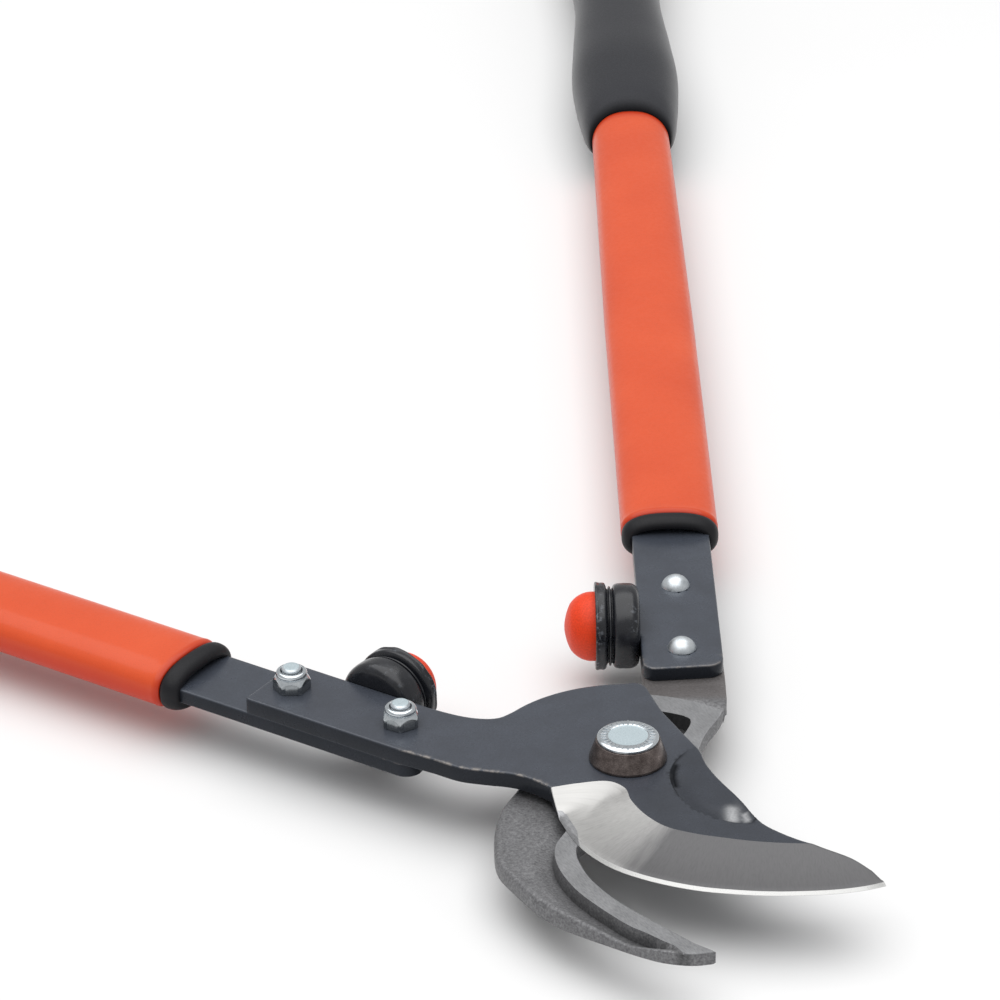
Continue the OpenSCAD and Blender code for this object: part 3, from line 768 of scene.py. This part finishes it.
def cutting_blade():
    outline = np.vstack([
        arc((-PLATE_X[0] - 1, TAIL_END - 1), 1, 0, 90, 4),
        arc((-PLATE_X[1] + 1, TAIL_END - 1), 1, 90, 180, 4),
        curve(NEAR_EDGE), curve(CUTTING_EDGE), curve(SPINE[1:]),
        arc((33.9, 19.7), 4.1, -35, 35, 6), arc((0, 0), 42.6, 34, 80, 20), curve(INNER_EDGE)])
    up, down = curve(BEVEL_TOP, 6), curve(BEVEL_EDGE, 6)
    off = down - up
    far = down + 2 * off / np.linalg.norm(off, axis=1)[:, None]
    ground = np.vstack([up, far[::-1]])
    edge_line = curve(CUTTING_EDGE, 8)
    scoop = curve(SCOOP, 5)

    def parts_of(P):
        """Distances from and along the edge, and the share of the way up the bevel."""
        de, along = gap(P, edge_line)
        beyond = np.maximum(de - HONE_W, 0)
        return de, along, beyond / np.maximum(beyond + gap(P, up)[0], 1e-6)

    def top(P, d):
        z = np.full(len(P), BLADE_T)
        g, run = gap(P, scoop)
        depth = SCOOP_DEPTH * ease(g, 0, 0.9) * ease(run, 14, 30) * (1 - 0.7 * ease(g, 0.9, 8))
        depth = depth * ease(d, 0, 2.2)
        z = np.where(inside(P, scoop), z - depth, z)
        de, _, share = parts_of(P)
        hollow = BEVEL_HOLLOW * np.sin(math.pi * share)
        bevel = np.where(de < HONE_W, EDGE_T + (HONE_H - EDGE_T) * de / HONE_W,
                         HONE_H + (BLADE_T - HONE_H) * share - hollow)
        in_ground = inside(P, ground)
        soft = np.where(in_ground, np.clip(de - 1.2, 0, 0.4), 0.55)
        z = np.where(in_ground, np.minimum(z, bevel), z)
        return BLADE_Z + z - np.where(in_ground & (de < 2), 0, rounded(d, soft))

    def bottom(P, d):
        soft = np.where(gap(P, edge_line)[0] < 1.0, 0.0, 0.3)
        return BLADE_Z + rounded(d, soft)

    def zone(c):
        de, along = gap(c, edge_line)
        g = inside(c, ground)
        heel = g & (de < heel_width(along))
        return np.where(heel, 3, np.where(g & (de < 0.85), 2, np.where(g, 1, 0)))

    def walls_in(c):
        return np.where(gap(c, edge_line)[0] < 0.3, 2, 0)

    run = gap(edge_line, edge_line)[1]
    hone = beside(edge_line, 0.9)[run > 10]
    heel = beside(edge_line, heel_width(run))[run < 16.5]
    lines = [(within(line, outline), False, True) for line in (up, scoop, hone)]
    lines.append((within(heel, outline), False, False))
    for by in (0.3, 0.75, 1.4):
        line = within(beside(scoop, by), outline)
        lines.append((within(line, scoop), False, False))
    v, f, zones, creases = plate(outline, top, bottom, holes("left", -HANDLE_OFF), lines, 1.1,
                                 0.55, zone, walls_in)
    P = v[:, :2]
    de, along, _ = parts_of(P)
    # rim falls to 0 on the plate's cut sides, which the material darkens as painted shade
    rim = np.clip(gap(P, outline, True)[0] / 0.12, 0, 1)
    # An abraded pale line along the top of the near edge
    wear_and_sheen = gap(P, curve(NEAR_EDGE[1:]))[0]
    wear_and_glint = bell(wear_and_sheen, 0.3, 0.35) * (v[:, 2] > BLADE_Z + BLADE_T / 2) * (rim > 0.5)
    g, run = gap(P, scoop)
    held = inside(P, scoop) * (v[:, 2] > BLADE_Z + 1) * 1.0
    shade = 0.9 * bell(g, 0.35, 0.55) * ease(run, 4, 12)
    shade = np.maximum(shade, 0.32 + 0.14 * bell(g, 2.2, 2.8) * ease(run, 20, 32))
    dark_end = gap(P, [(3.6, -13.8), (0.8, -14.8), (-1.8, -16.4), (-4.4, -18.9)])[0]
    shade = np.maximum(shade, bell(dark_end, 0, 1.5)) * held
    shade = np.maximum(shade, 0.24 * ease(-P[:, 1], 2, 20))
    # Painted highlights: two pale spots at the far end of the scoop
    painted_highlight = np.zeros(len(P))
    for spot, size in HIGHLIGHT_SPOTS:
        painted_highlight = np.maximum(painted_highlight, np.exp(-(gap(P, spot)[0] / size) ** 2.2))
    painted_highlight = painted_highlight * held
    grain = np.stack([along, de, v[:, 2]], 1)
    piece("cutting_blade_plate", (v, f), LEFT_HALF, BODY["left"], ["cutting_blade"],
          "blade_steel", [blade_mat, bevel_mat, hone_mat, land_mat], zones, creases=creases,
          attrs={"rim": rim, "wear_and_glint": wear_and_glint, "shade": shade, "painted_highlight": painted_highlight, "grain": grain})


cutting_blade()

# ----- Counter blade

HOOK_OUTER = [(7, 60), (6.8, 50), (4.5, 43), (-2, 37), (-12, 31.5), (-21.5, 22.5), (-27.5, 11),
              (-31.3, -2), (-36.6, -14.4), (-38.8, -28.3), (-38.4, -41.3), (-34.7, -50.2),
              (-27.2, -63), (-18.6, -72.6), (-8.9, -81.3), (-1, -88), (6, -92.6), (13.5, -94.6),
              (20, -93.6)]
HOOK_INNER = [(20, -93.6), (14.4, -89.2), (5.3, -79.6), (-4.7, -68.5), (-11.9, -57.2),
              (-15.3, -47.5), (-16, -41), (-15, -37.6), (-11, -33.6), (-2, -28), (7, -22),
              (14, -14), (18, -5), (20, 6), (21, 13.3), (23.6, 22), (28.3, 32.2), (30.7, 42),
              (31.4, 55), (31.5, 66)]
LAND_OUTER = [(-8, 27), (-17, 17), (-20, 3), (-17.5, -10), (-16, -21), (-18.3, -30),
              (-21.6, -38), (-21.9, -46), (-19.6, -55), (-14.6, -65), (-4.3, -78.5),
              (1.8, -84), (6, -87.9), (9.6, -91.2), (12.5, -97)]
POCKET = [(19.5, 28.2), (18.8, 25.3), (16.2, 19.6), (12.5, 15.5), (5, 18.5), (-1, 21.5), (-1, 30)]
LAND_ARC = ((0, 0), 45.2, 50.7, 82)
THIN_EDGE = [(17, -99), (10, -90.5), (1, -81.5), (-9, -70), (-16.5, -58), (-19.5, -48),
             (-20, -40), (-17.5, -35), (-12, -29.5), (-2, -23.5), (5, -18.5), (10.5, -11.5),
             (13, -4), (14.5, 6), (15.8, 14), (18.5, 24), (22.5, 34), (24.5, 44)]


def counter_blade():
    end = TAIL_END + RIGHT_SHIFT
    outline = np.vstack([[(BAR_X[1], end), (BAR_X[0], end)], curve(HOOK_OUTER),
                         curve(HOOK_INNER[1:])])
    land_edge = curve(LAND_OUTER, 6)
    land = np.vstack([arc(*LAND_ARC, 20), land_edge,
                      [(30, -97), (50, -20), (40, 35)]])
    pocket = np.vstack([curve(POCKET), arc((0, 0), 36.4, 92, 61, 12),
                        arc((16.6, 28.7), 3, 62, 20, 4)])
    thin = curve(THIN_EDGE, 4)
    thin_side = np.vstack([thin, [(60, 44), (60, -99)]])

    def is_land(P):
        return inside(P, land) & ~inside(P, pocket)

    def land_gap(P):
        return np.minimum(gap(P, land, True)[0], gap(P, pocket, True)[0])

    def top(P, d):
        s = land_gap(P)
        y = P[:, 1]
        valley = FORGE_Z - 1.1 + 1.45 * ease(s, 0.8, 6.5)
        rim = 0.45 * bell(d, 1.4, 0.8) * (y < 30)
        low = valley + rim
        low = low + (LAND_Z - low) * ease(-y, 84, 94)
        low = np.maximum(low, LAND_Z - 6.5 * s)
        neck = np.interp(y, (46, 57), (FORGE_Z + 0.2, TAIL_Z))
        low = np.where(y > 46, np.minimum(np.where(y > 57, TAIL_Z, neck), low), low)
        on = is_land(P) | (s < 0.02)
        return np.where(on, LAND_Z, low) - rounded(d, np.where(on, 0.25, 0.9))

    def bottom(P, d):
        y = P[:, 1]
        z = np.full(len(P), WEB_Z)
        signed = gap(P, thin)[0] * np.where(inside(P, thin_side), 1, -1)
        z = z + (RIM_Z - WEB_Z) * ease(signed, -0.6, 0.6) * (y < 44.5)
        z = np.where(y < -70, np.maximum(z, WEB_Z + (-70 - y) * math.tan(math.radians(8))), z)
        rho = np.linalg.norm(P, axis=1)
        z = z + (UNDER_Z - z) * (1 - ease(rho, BOSS_R - 0.5, BOSS_R + 0.5))
        z = z + (UNDER_Z - z) * ease(y, 49.2, 50.2)
        return z + rounded(d, 0.7)

    def zone(c):
        return is_land(c).astype(int)

    lines = [(within(land_edge, outline), False, True),
             (within(arc(*LAND_ARC, 30), outline), False, True), (pocket, True, True)]
    for by in (0.64, 1.5, 2.6):
        foot = within(beside(land_edge, -by), outline)
        foot = foot[~is_land(foot) & (foot[:, 1] > -87)]
        lines.append((foot[land_gap(foot) > 0.9 * by], False, False))
    for by in (-0.6, 0.6):
        lines.append((arc((0, 0), BOSS_R + by, 0, 355, 71), True, False))
    for by in (-0.6, 0.6):
        line = within(beside(thin, by), outline)
        lines.append((line[np.linalg.norm(line, axis=1) > BOSS_R + 1], False, False))
    v, f, zones, creases = plate(outline, top, bottom, holes("right", HANDLE_OFF), lines, 1.1,
                                 0.9, zone)
    P = v[:, :2]
    s = land_gap(P)
    upper = v[:, 2] > WEB_Z + 1.5
    # Painted shade: darkest in the valley along the land's foot, and all through the pocket
    hollow = np.where(s < 0.64, 0.25 + 0.5 * s, 0.57 * (1 - ease(s, 0.64, 2.1)))
    hollow = hollow * upper * (P[:, 1] < 30)
    hollow = np.maximum(hollow, 0.9 * (inside(P, pocket) | (gap(P, pocket, True)[0] < 0.05)))
    piece("counter_blade_forging", (v, f), RIGHT_HALF, BODY["right"], ["counter_blade"],
          "forged_steel", [forged_mat, land_mat], zones, creases=creases,
          attrs={"hollow": hollow, "brown": ease(P[:, 1], 44, 50)})


counter_blade()

# ----- Tang bars


def tang_bar(side):
    y0 = BAR_START + SHIFT[side]
    y1 = FERRULE_Y[side] + 52
    x0, x1 = BAR_X
    yc = CUP_Y + SHIFT[side]
    outer_y = y0 + (6.2 if side == "right" else 3.2)
    outline = np.vstack([
        [(x0, y1)], arc((x0 - 3, yc + 9), 3, 0, -90, 6),
        [(x0 - 9, yc + 6), (x0 - 9, yc - 6)], arc((x0 - 3, yc - 9), 3, 90, 0, 6),
        arc((x0 + 4, y0 + 4), 4, 180, 270, 8), arc((x1 - 5, outer_y), 5, 275, 360, 8),
        [(x1, y1)]])
    z0 = BAR_Z[side]
    z1 = z0 + BAR_T
    v, f, _, _ = plate(
        outline, lambda P, d: z1 - rounded(d, 0.55), lambda P, d: z0 + rounded(d, 0.45),
        holes(side, HANDLE_OFF)[1:], (), 2.2, 0.55)
    d = gap(v[:, :2], outline, True)[0]
    upper = v[:, 2] > z0 + BAR_T / 2
    # Painted highlight: a pale line along the top edges near the bar's end by the blade
    wear_and_glint = 0.6 * bell(d, 0.25, 0.25) * upper * (v[:, 1] < y0 + 8) * (d > 0.05)
    # rim falls to 0 on the bar's cut sides, which the material darkens as painted shade
    side_piece(side, "tang_bar_steel", (v, f), HANDLE[side], "tang_bar", "bar_steel", [bar_mat],
               attrs={"rim": np.clip(d / 0.12, 0, 1), "wear_and_glint": wear_and_glint})


# ----- Nuts and bolts


def hex_nut(af, h, bore_r):
    """A lock nut, af across its flats: a steep rounded chamfer, a groove and a rolled collar."""
    n = 120
    a = circle(n)
    flat = np.abs((a + math.pi / 6) % (math.pi / 3) - math.pi / 6)
    across = np.minimum(af / 2 / np.cos(flat), af / 2 * 1.128)
    k = af / 10
    cone_r = 0.465 * af
    cone_z = 0.70 * h
    top = cone_z - 1.43 * np.maximum(across - cone_r, 0)
    foot = np.maximum(0.12 * k, 0.5 * (across - af / 2))

    def ring(r, z):
        return np.stack([r * np.cos(a), r * np.sin(a), np.full(n, 1.0) * z], 1)

    start_r, start_z = across - 0.10 * k, top + 0.06 * k
    rings = [ring(bore_r, 0.0), ring(af / 2 * 0.93, 0.0), ring(across - 0.12 * k, foot * 0.3),
             ring(across, foot), ring(across, top - 0.12 * k)]
    for t in (0.0, 0.35, 0.7, 1.0):
        rings.append(ring(start_r + (cone_r - start_r) * t,
                          start_z + (cone_z - start_z) * t ** 0.9))
    collar = [(0.447, 0.703), (0.440, 0.722), (0.446, 0.745), (0.460, 0.775), (0.466, 0.83),
              (0.460, 0.89), (0.440, 0.945), (0.410, 0.985), (0.380, 1.0), (0.352, 1.0),
              (0.335, 0.985), (0.328, 0.95), (0.326, 0.86)]
    rings += [ring(r * af, z * h) for r, z in collar]
    rings.append(ring(bore_r, 0.80 * h))
    return skin(rings, (False, False))


def ring_seal(af, h, bore_r):
    """The locking ring inside the collar."""
    outer = 0.322 * af
    return lathe(fillet([(bore_r, 0.80 * h), (bore_r, 0.925 * h), (outer, 0.925 * h),
                         (outer, 0.80 * h)], 0.12), 64)


def bolt_body(held, r=2.85):
    """Shank, threaded end with a chamfered face, and a rounded head below."""
    z = held + NUT_H + BOLT_TIP
    profile = [(r, 0), (r, held)]
    level = held
    while level < z - 1.3:
        profile += [(r, level + 0.35), (r - 0.28, level + 0.6), (r, level + 0.9)]
        level += 1.0
    profile += [(r, z - 0.55), (r - 0.45, z - 0.08), (r - 0.62, z), (r * 0.45, z - 0.05),
                (0, z - 0.09)]
    d, deep = BOLT_HEAD
    sphere = (d * d / 4 + deep * deep) / (2 * deep)
    cap = [(sphere * math.sin(t), -deep + sphere * (1 - math.cos(t)))
           for t in np.linspace(0, math.asin(d / 2 / sphere), 15)]
    return lathe(cap + [(d / 2 - 0.02, -0.12), (d / 2 - 0.25, 0.0)] + profile, 72)


def above(shape, z, r=1e9):
    """Marks the faces of a lathed shape that lie above z and within r."""
    verts, faces = shape
    marks = []
    for face in faces:
        p = verts[list(face)]
        marks.append(int(p[:, 2].min() > z and np.hypot(p[:, 0], p[:, 1]).max() < r))
    return marks


def flats(shape):
    """Marks the upright faces round the outside of a nut."""
    verts, faces = shape
    widest = np.hypot(verts[:, 0], verts[:, 1]).max()
    marks = []
    for face in faces:
        p = verts[list(face)]
        n = np.cross(p[2] - p[0], p[-1] - p[1])
        out = np.hypot(*p[:, :2].mean(0))
        marks.append(int(out > 0.84 * widest and abs(n[2]) < 0.25 * np.linalg.norm(n)))
    return marks


def tang_hardware(side):
    held = BLADE_TOP - BAR_Z["left"] if side == "left" else LAND_Z - UNDER_Z
    nuts, rings, bolts, ends, sides = [], [], [], [], []
    for y, angle in zip(bolt_y(side), NUT_TURN):
        seat = shift(HANDLE_OFF, y, BLADE_TOP) @ turn(angle)
        if side == "right":
            seat = shift(HANDLE_OFF, y, UNDER_Z) @ turn(angle) @ MIRROR_Z
        nut = hex_nut(NUT_AF, NUT_H, NUT_BORE_R)
        nuts.append((nut, seat @ turn(30)))
        # The flats take the darker zinc copy, as painted shade
        sides += flats(nut)
        rings.append((ring_seal(NUT_AF, NUT_H, NUT_BORE_R), seat))
        bolt = bolt_body(held)
        bolts.append((bolt, seat @ shift(z=-held)))
        ends += above(bolt, held + NUT_H + BOLT_TIP - 0.15)
    place = HANDLE[side]
    side_piece(side, "tang_nuts_zinc", merge(nuts), place, "tang_nuts", "zinc_steel",
               [zinc_mat, shaded_flats_mat], zone=sides, sharp=40)
    side_piece(side, "tang_bolts_zinc", merge(bolts), place, "tang_bolts", "zinc_steel",
               [satin_mat, matt_mat], zone=ends, sharp=40)
    side_piece(side, "nut_ring_seals", merge(rings), place, "nut_rings", "nylon_ring", [ring_mat],
               sharp=40)


def pivot():
    body = BODY["right"]
    r = HEAD_D / 2
    z = HEAD_Z
    top = z + 1.2
    neck = z - NECK_H
    profile = fillet([(0, 0.05), (PIVOT_D / 2 - 0.6, 0), (PIVOT_D / 2, 0.7), (PIVOT_D / 2, neck),
                      (NECK_R, neck), (NECK_R, z), (r, z), (r, top - 0.45), (r - 0.65, top)],
                     0.18, 4)
    profile += [(5.75, top), (5.55, top - 0.14), (5.2, top - 0.16), (3.0, top - 0.10),
                (0, top - 0.08)]
    head = lathe(profile, 128)
    marks = above(head, top - 0.3, 5.9)
    parts = [(head, Matrix.Identity(4))]
    tick = lathe(fillet([(0.0, 0.0), (0.32, 0.0), (0.26, 0.26), (0.0, 0.28)], 0.03, 2), 12)
    for i in range(TICKS):
        stretch = Matrix.Diagonal((3.6 if i % 5 else 4.6, 1, 1, 1))
        parts.append((tick, turn(360 / TICKS * i) @ shift(7.05, 0, top - 0.01) @ stretch))
    marks += [0] * len(tick[1]) * TICKS
    piece("pivot_bolt_zinc", merge(parts), MM, body, ["pivot_bolt"], "zinc_steel",
          [zinc_mat, matt_mat], marks, 40)
    start, wide = (PIVOT_HOLE_R, CONE_Z), NECK_R + 0.05
    cone = fillet([start, (CONE_D / 2, CONE_Z), (CONE_D / 2 - 0.05, CONE_Z + 0.7),
                   (HEAD_D / 2 + 0.35, z), (wide, z), (wide, neck), (PIVOT_HOLE_R, neck), start],
                  0.22, 4)
    piece("pivot_cone_washer_steel", lathe(cone, 128), MM, body, ["pivot_cone_washer"],
          "cone_steel", [cone_mat], sharp=40)
    low, high = WASHER_Z
    start = (PIVOT_D / 2, (low + high) / 2)
    washer = fillet([(PIVOT_D / 2, low), (9.9, low), (10, high), (PIVOT_D / 2, high)], 0.2, 3)
    piece("pivot_washer_zinc", lathe([start] + washer + [start]), MM, body, ["pivot_washer"],
          "zinc_steel", [zinc_mat], sharp=40)
    nut = hex_nut(*PIVOT_NUT)
    place = MM @ shift(z=low) @ MIRROR_Z
    piece("pivot_nut_zinc", nut, place, body, ["pivot_nut"], "zinc_steel", [zinc_mat, shaded_flats_mat],
          flats(nut), 40)
    piece("pivot_nut_ring_seal", ring_seal(*PIVOT_NUT), place, body, ["pivot_nut_ring"],
          "nylon_ring", [ring_mat], sharp=40)


pivot()

# ----- Handles


def bumper(side):
    """The rubber cup and its plug, turned round an axis across the handle."""
    place = HANDLE[side] @ shift(BAR_X[0], CUP_Y + SHIFT[side], CUP_Z) @ turn(-90, "Y")
    R, r = CUP_D / 2, PLUG_D / 2
    L = CUP_LEN
    body = R - 0.3
    folds = [(-3.4, 0.0), (-1.9, 0.25), (-0.8, 0.95), (-0.2, 2.0), (0, 3.2), (0.02, 5.6),
             (-0.15, 7.0), (-0.55, 7.75), (-1.35, 8.15), (-1.7, 8.35), (-1.55, 8.6),
             (-0.95, 8.75), (-0.85, 9.1), (-1.0, 9.35), (-1.65, 9.5), (-1.55, 9.8),
             (-0.6, 10.1)]
    profile = [(0, 0.02)] + [(body + x, z) for x, z in folds]
    profile += [(R - 0.2, 10.5), (R, 11.1), (R - 0.05, 12.3), (R + 0.12, 12.9),
                (R - 0.05, L - 0.1), (R - 0.6, L), (r + 0.35, L - 0.05), (r + 0.08, L - 0.35),
                (r + 0.02, L - 1.6), (0, L - 1.6)]

    def ripple(a, out, z):
        wavy = 0.10 * np.sin(5 * a + 0.6) + 0.07 * np.sin(11 * a + 2.0) + 0.05 * np.sin(17 * a)
        return wavy * float(ease(z, 11.5, 12.8)) * float(out > r + 0.4)

    # The profile's first point and its last two stay as they are, the others are smoothed
    v, f = lathe(profile[:1] + list(curve(profile[1:-2], 3)) + profile[-2:], 144, ripple)
    out = np.hypot(v[:, 0], v[:, 1])
    # Painted highlights: light bands round the flange's edge and round the back of the cup
    wear_and_sheen = 0.75 * bell(v[:, 2], L - 1.0, 1.3) * (out > R - 1)
    wear_and_sheen = np.maximum(wear_and_sheen, 0.45 * bell(v[:, 2], 2.0, 1.4) * (out > R - 3))
    side_piece(side, "bumper_cup_rubber", (v, f), place, "bumper_cup", "cup_rubber",
               [rubber_mat], sharp=50, attrs={"wear_and_sheen": wear_and_sheen})
    cap = PLUG_OUT - 1.4
    ball = (r * r + cap * cap) / (2 * cap)
    dome = [(0, L - 1.5), (r, L - 1.5), (r, L + 0.9)]
    for t in np.radians(np.linspace(3, 90, 30)):
        x = r * math.cos(t) ** 0.88
        z = 0.9 + (PLUG_OUT - 0.9) * math.sin(t)
        # The nose keeps to the CAD's round cap, so the plugs don't cut into each other
        nose = PLUG_OUT - 0.03 - ball + math.sqrt(ball * ball - x * x)
        dome.append((x, L + min(z, nose + 0.027 * max(x - 2, 0) ** 2)))
    side_piece(side, "bumper_plug_orange", lathe(dome, 128), place, "bumper_plug",
               "orange_plug", [plug_mat], sharp=50)


def ferrule(side):
    """The plastic mouth of a tube, from its rounded lip in to the slot for the bar."""
    a, b = TUBE_W / 2, TUBE_T / 2
    lip = [(1.25, FERRULE_LEN + 0.3), (0.95, 5.95), (0.5, 5.6), (0.16, 5.1), (0.02, 4.5)]
    for t in np.radians(np.linspace(0, 90, 10)):
        lip.append((2.5 * (1 - math.cos(t)), 3.9 * (1 - math.sin(t))))
    lip += [(3.1, 0.06), (3.6, 0.4)]
    lip = [(1.35, FERRULE_LEN + 30), (1.35, FERRULE_LEN + 0.7)] + lip
    rings = [side_oval(a - c, b - c, y) for c, y in lip]
    mouth_a, mouth_b = BAR_W / 2 + 1.1, BAR_T / 2 + 1.7
    a, b = a - 3.7, b - 3.7
    for t, y in ((0.4, 0.7), (0.75, 1.0), (1.0, 1.5)):
        rings.append(side_oval(a + (mouth_a - a) * t, b + (mouth_b - b) * t, y,
                               power=2.5 + 4 * t))
    for y in (9, 14):
        rings.append(side_oval(BAR_W / 2 + 0.12, BAR_T / 2 + 0.3, y, power=11.5))
    place = on_handle(side, FERRULE_Y[side], (BAR_Z[side] + BAR_T / 2 + TUBE_Z) / 2)
    side_piece(side, "ferrule_moulding", skin(rings[::-1]), place, "ferrule", "ferrule_plastic",
               [ferrule_mat], sharp=50)


TUBE_STATIONS = (0, 300, 450, 700)
TUBE_A = (TUBE_W / 2, TUBE_W / 2, TUBE_W / 2 - 0.9, TUBE_W / 2 - 2.8)
TUBE_B = (TUBE_T / 2, TUBE_T / 2, TUBE_T / 2 + 1.1, TUBE_T / 2 + 4)


def tube_size(y):
    """Half width and half thickness of the tube at y."""
    return np.interp(y, TUBE_STATIONS, TUBE_A), np.interp(y, TUBE_STATIONS, TUBE_B)


def tube(side):
    y0 = FERRULE_Y[side] + FERRULE_LEN
    y1 = HANDLE_LEN - 10

    def ring(y, inset=0.0):
        a, b = tube_size(y)
        return side_oval(a - inset, b - inset, y)

    nose = [(1.15, 0.25), (0.95, 0.0), (0.7, 0.06), (0.42, 0.35), (0.2, 0.8), (0.04, 1.25),
            (-0.08, 1.7), (-0.12, 2.1), (-0.08, 2.5), (0.0, 3.2), (0.0, 5.0)]
    rings = [ring(y0 + 40, TUBE_WALL), ring(y0 + 0.9, TUBE_WALL)]
    rings += [ring(y0 + y, c) for c, y in nose]
    grip_y = HANDLE_LEN - GRIP_LEN
    for span in ((y0 + 8, grip_y - 16, 50), (grip_y - 15, grip_y + 14, 38), (grip_y + 24, y1, 14)):
        rings += [ring(y) for y in np.linspace(*span)]
    rings += [ring(y1, TUBE_WALL), ring(y1 - 40, TUBE_WALL)]
    v, f = skin(rings, (False, False))
    # Painted shade: darker bands at the tube's end and at the grip's mouth, and a darker underside
    rim = np.minimum(np.abs(v[:, 1] - y0) / 2.6, np.abs(v[:, 1] - grip_mouth(v[:, 0])) / 5.0)
    under = 1 - ease(v[:, 2] / (TUBE_T / 2), -0.2, 0.65)
    side_piece(side, "tube_painted", (v, f), on_handle(side), "tube", "orange_paint", [paint_mat],
               sharp=50, attrs={"rim": np.clip(rim, 0, 1), "under": under})


GRIP_FORM = [(-7, 0.83, 0.66), (15, 0.88, 0.76), (35, 0.955, 0.88), (59, 1, 0.97), (88, 0.94, 0.93),
             (129, 0.84, 0.88), (163, 0.875, 0.91), (193, 0.935, 0.96), (217, 0.95, 1),
             (233, 0.9, 0.95), (240, 0.8, 0.84), (243, 0.6, 0.62)]
# Over this length the grip swells from the tube to its own form
NOSE = 17.0


def grip_mouth(x):
    """Where the grip starts, at x from the handle's centre line."""
    r = 0.48 * GRIP_W
    return HANDLE_LEN - GRIP_LEN + 10 - r + np.sqrt(np.maximum(r * r - x * x, 1.0))


def grip(side):
    n = 128
    form = curve(GRIP_FORM, 8)
    y0 = HANDLE_LEN - GRIP_LEN

    t = circle(n)[::-1]
    c, s = blunt(np.cos(t), 2 / 2.25), blunt(np.sin(t), 2 / 2.25)
    front = np.full(n, y0 + 2.0)
    for _ in range(8):
        front = grip_mouth(tube_size(front)[0] * c * 1.12)

    def ring(share, lift=0.0):
        """One ring of the outside, which swells from the tube to the grip's own form."""
        y = front + lift + (HANDLE_LEN - front) * share
        a = np.interp(y - y0, form[:, 0], form[:, 1]) * GRIP_W / 2
        b = np.interp(y - y0, form[:, 0], form[:, 2]) * GRIP_T / 2
        ta, tb = tube_size(y)
        x = np.clip((y - front) / NOSE, 0, 1)
        swell = (1 - (1 - x) ** 2.2) ** 0.62
        a = ta + 0.35 + (a - ta - 0.35) * swell
        b = tb + 0.35 + (b - tb - 0.35) * swell
        power = 1 - 0.2 * (1 - swell) / 1.8
        return np.stack([a * blunt(c, power), y, b * blunt(s, power)], 1)

    def bore(lift):
        """One ring of the inside, just clear of the tube."""
        y = front + lift
        a, b = tube_size(y)
        x, z = (a + 0.05) * blunt(np.cos(t), 0.8), (b + 0.05) * blunt(np.sin(t), 0.8)
        return np.stack([x, y, z], 1)

    rings = [bore(20.0), bore(0.9), bore(0.3)]
    rings += [ring(0.0, y) for y in (0.0, 0.1, 0.3, 0.6, 1.0, 1.6, 2.3)]
    rings += [ring(x) for x in np.linspace(0.013, 0.93, 84)]
    rings += [ring(x) for x in np.linspace(0.935, 1.0, 24)]
    last = rings[-1]
    centre = last.mean(0)
    rings += [centre + (last - centre) * k for k in (0.86, 0.6, 0.3, 0.02)]
    v, f = skin(rings, (False, True))
    # Painted shade on the grip close to its mouth
    nose = ease(v[:, 1] - grip_mouth(v[:, 0]), -0.5, 7.0)
    side_piece(side, "grip_moulding", (v, f), on_handle(side), "grip", "grip_plastic", [grip_mat],
               sharp=50, attrs={"nose": nose})


for side in SIDES:
    tang_bar(side)
    tang_hardware(side)
    bumper(side)
    ferrule(side)
    tube(side)
    grip(side)

# ----- Studio


# In metres and degrees; the camera is the one fitted to the photo
FLOOR_HALF = 12.0
FLOOR_Z = -0.0004
SKY = 0.55
PANEL_AT = (-0.1, 0.15, 1.9)
PANEL_AIM = (0, 0.1, 0)
PANEL_SIZE = (3.2, 2.8)
PANEL_WATTS = 50
CAMERA_AT = (-0.57903, -1.00229, 0.71731)
CAMERA_TURN = (62.248, 0.690, -28.613)
CAMERA_LENS = 169.2


def studio():
    """A pale floor, an even white sky and one large panel above."""
    mat = Mat("studio_floor", Roughness=0.9)
    mat.set(Base_Color=mat.ramp(mat.noise(400.0, 2, 0.5), (0.3, 0.78), (0.7, 0.81)))
    mesh = bpy.data.meshes.new("studio_floor")
    corners = ((-1, -1), (1, -1), (1, 1), (-1, 1))
    mesh.from_pydata([(x * FLOOR_HALF, y * FLOOR_HALF, FLOOR_Z) for x, y in corners], [],
                     [(0, 1, 2, 3)])
    mesh.materials.append(mat.m)
    floor = add("studio_floor", mesh)
    world = bpy.data.worlds.new("studio")
    world.use_nodes = True
    sky = world.node_tree.nodes["Background"]
    sky.inputs["Color"].default_value = (1, 1, 1, 1)
    sky.inputs["Strength"].default_value = SKY
    bpy.context.scene.world = world
    light = bpy.data.lights.new("key_panel", "AREA")
    light.shape = "RECTANGLE"
    light.size, light.size_y = PANEL_SIZE
    light.energy = PANEL_WATTS
    obj = add("key_panel", light)
    obj.location = PANEL_AT
    aim = Vector(PANEL_AIM) - Vector(PANEL_AT)
    obj.rotation_euler = aim.to_track_quat("-Z", "Y").to_euler()


def camera():
    cam = bpy.data.cameras.new("camera")
    cam.sensor_width = 36.0
    cam.lens = CAMERA_LENS
    cam.clip_start, cam.clip_end = 0.05, 50.0
    obj = add("camera", cam)
    obj.location = CAMERA_AT
    obj.rotation_euler = [math.radians(a) for a in CAMERA_TURN]
    bpy.context.scene.camera = obj


studio()
camera()
bpy.context.scene.view_settings.view_transform = "Standard"
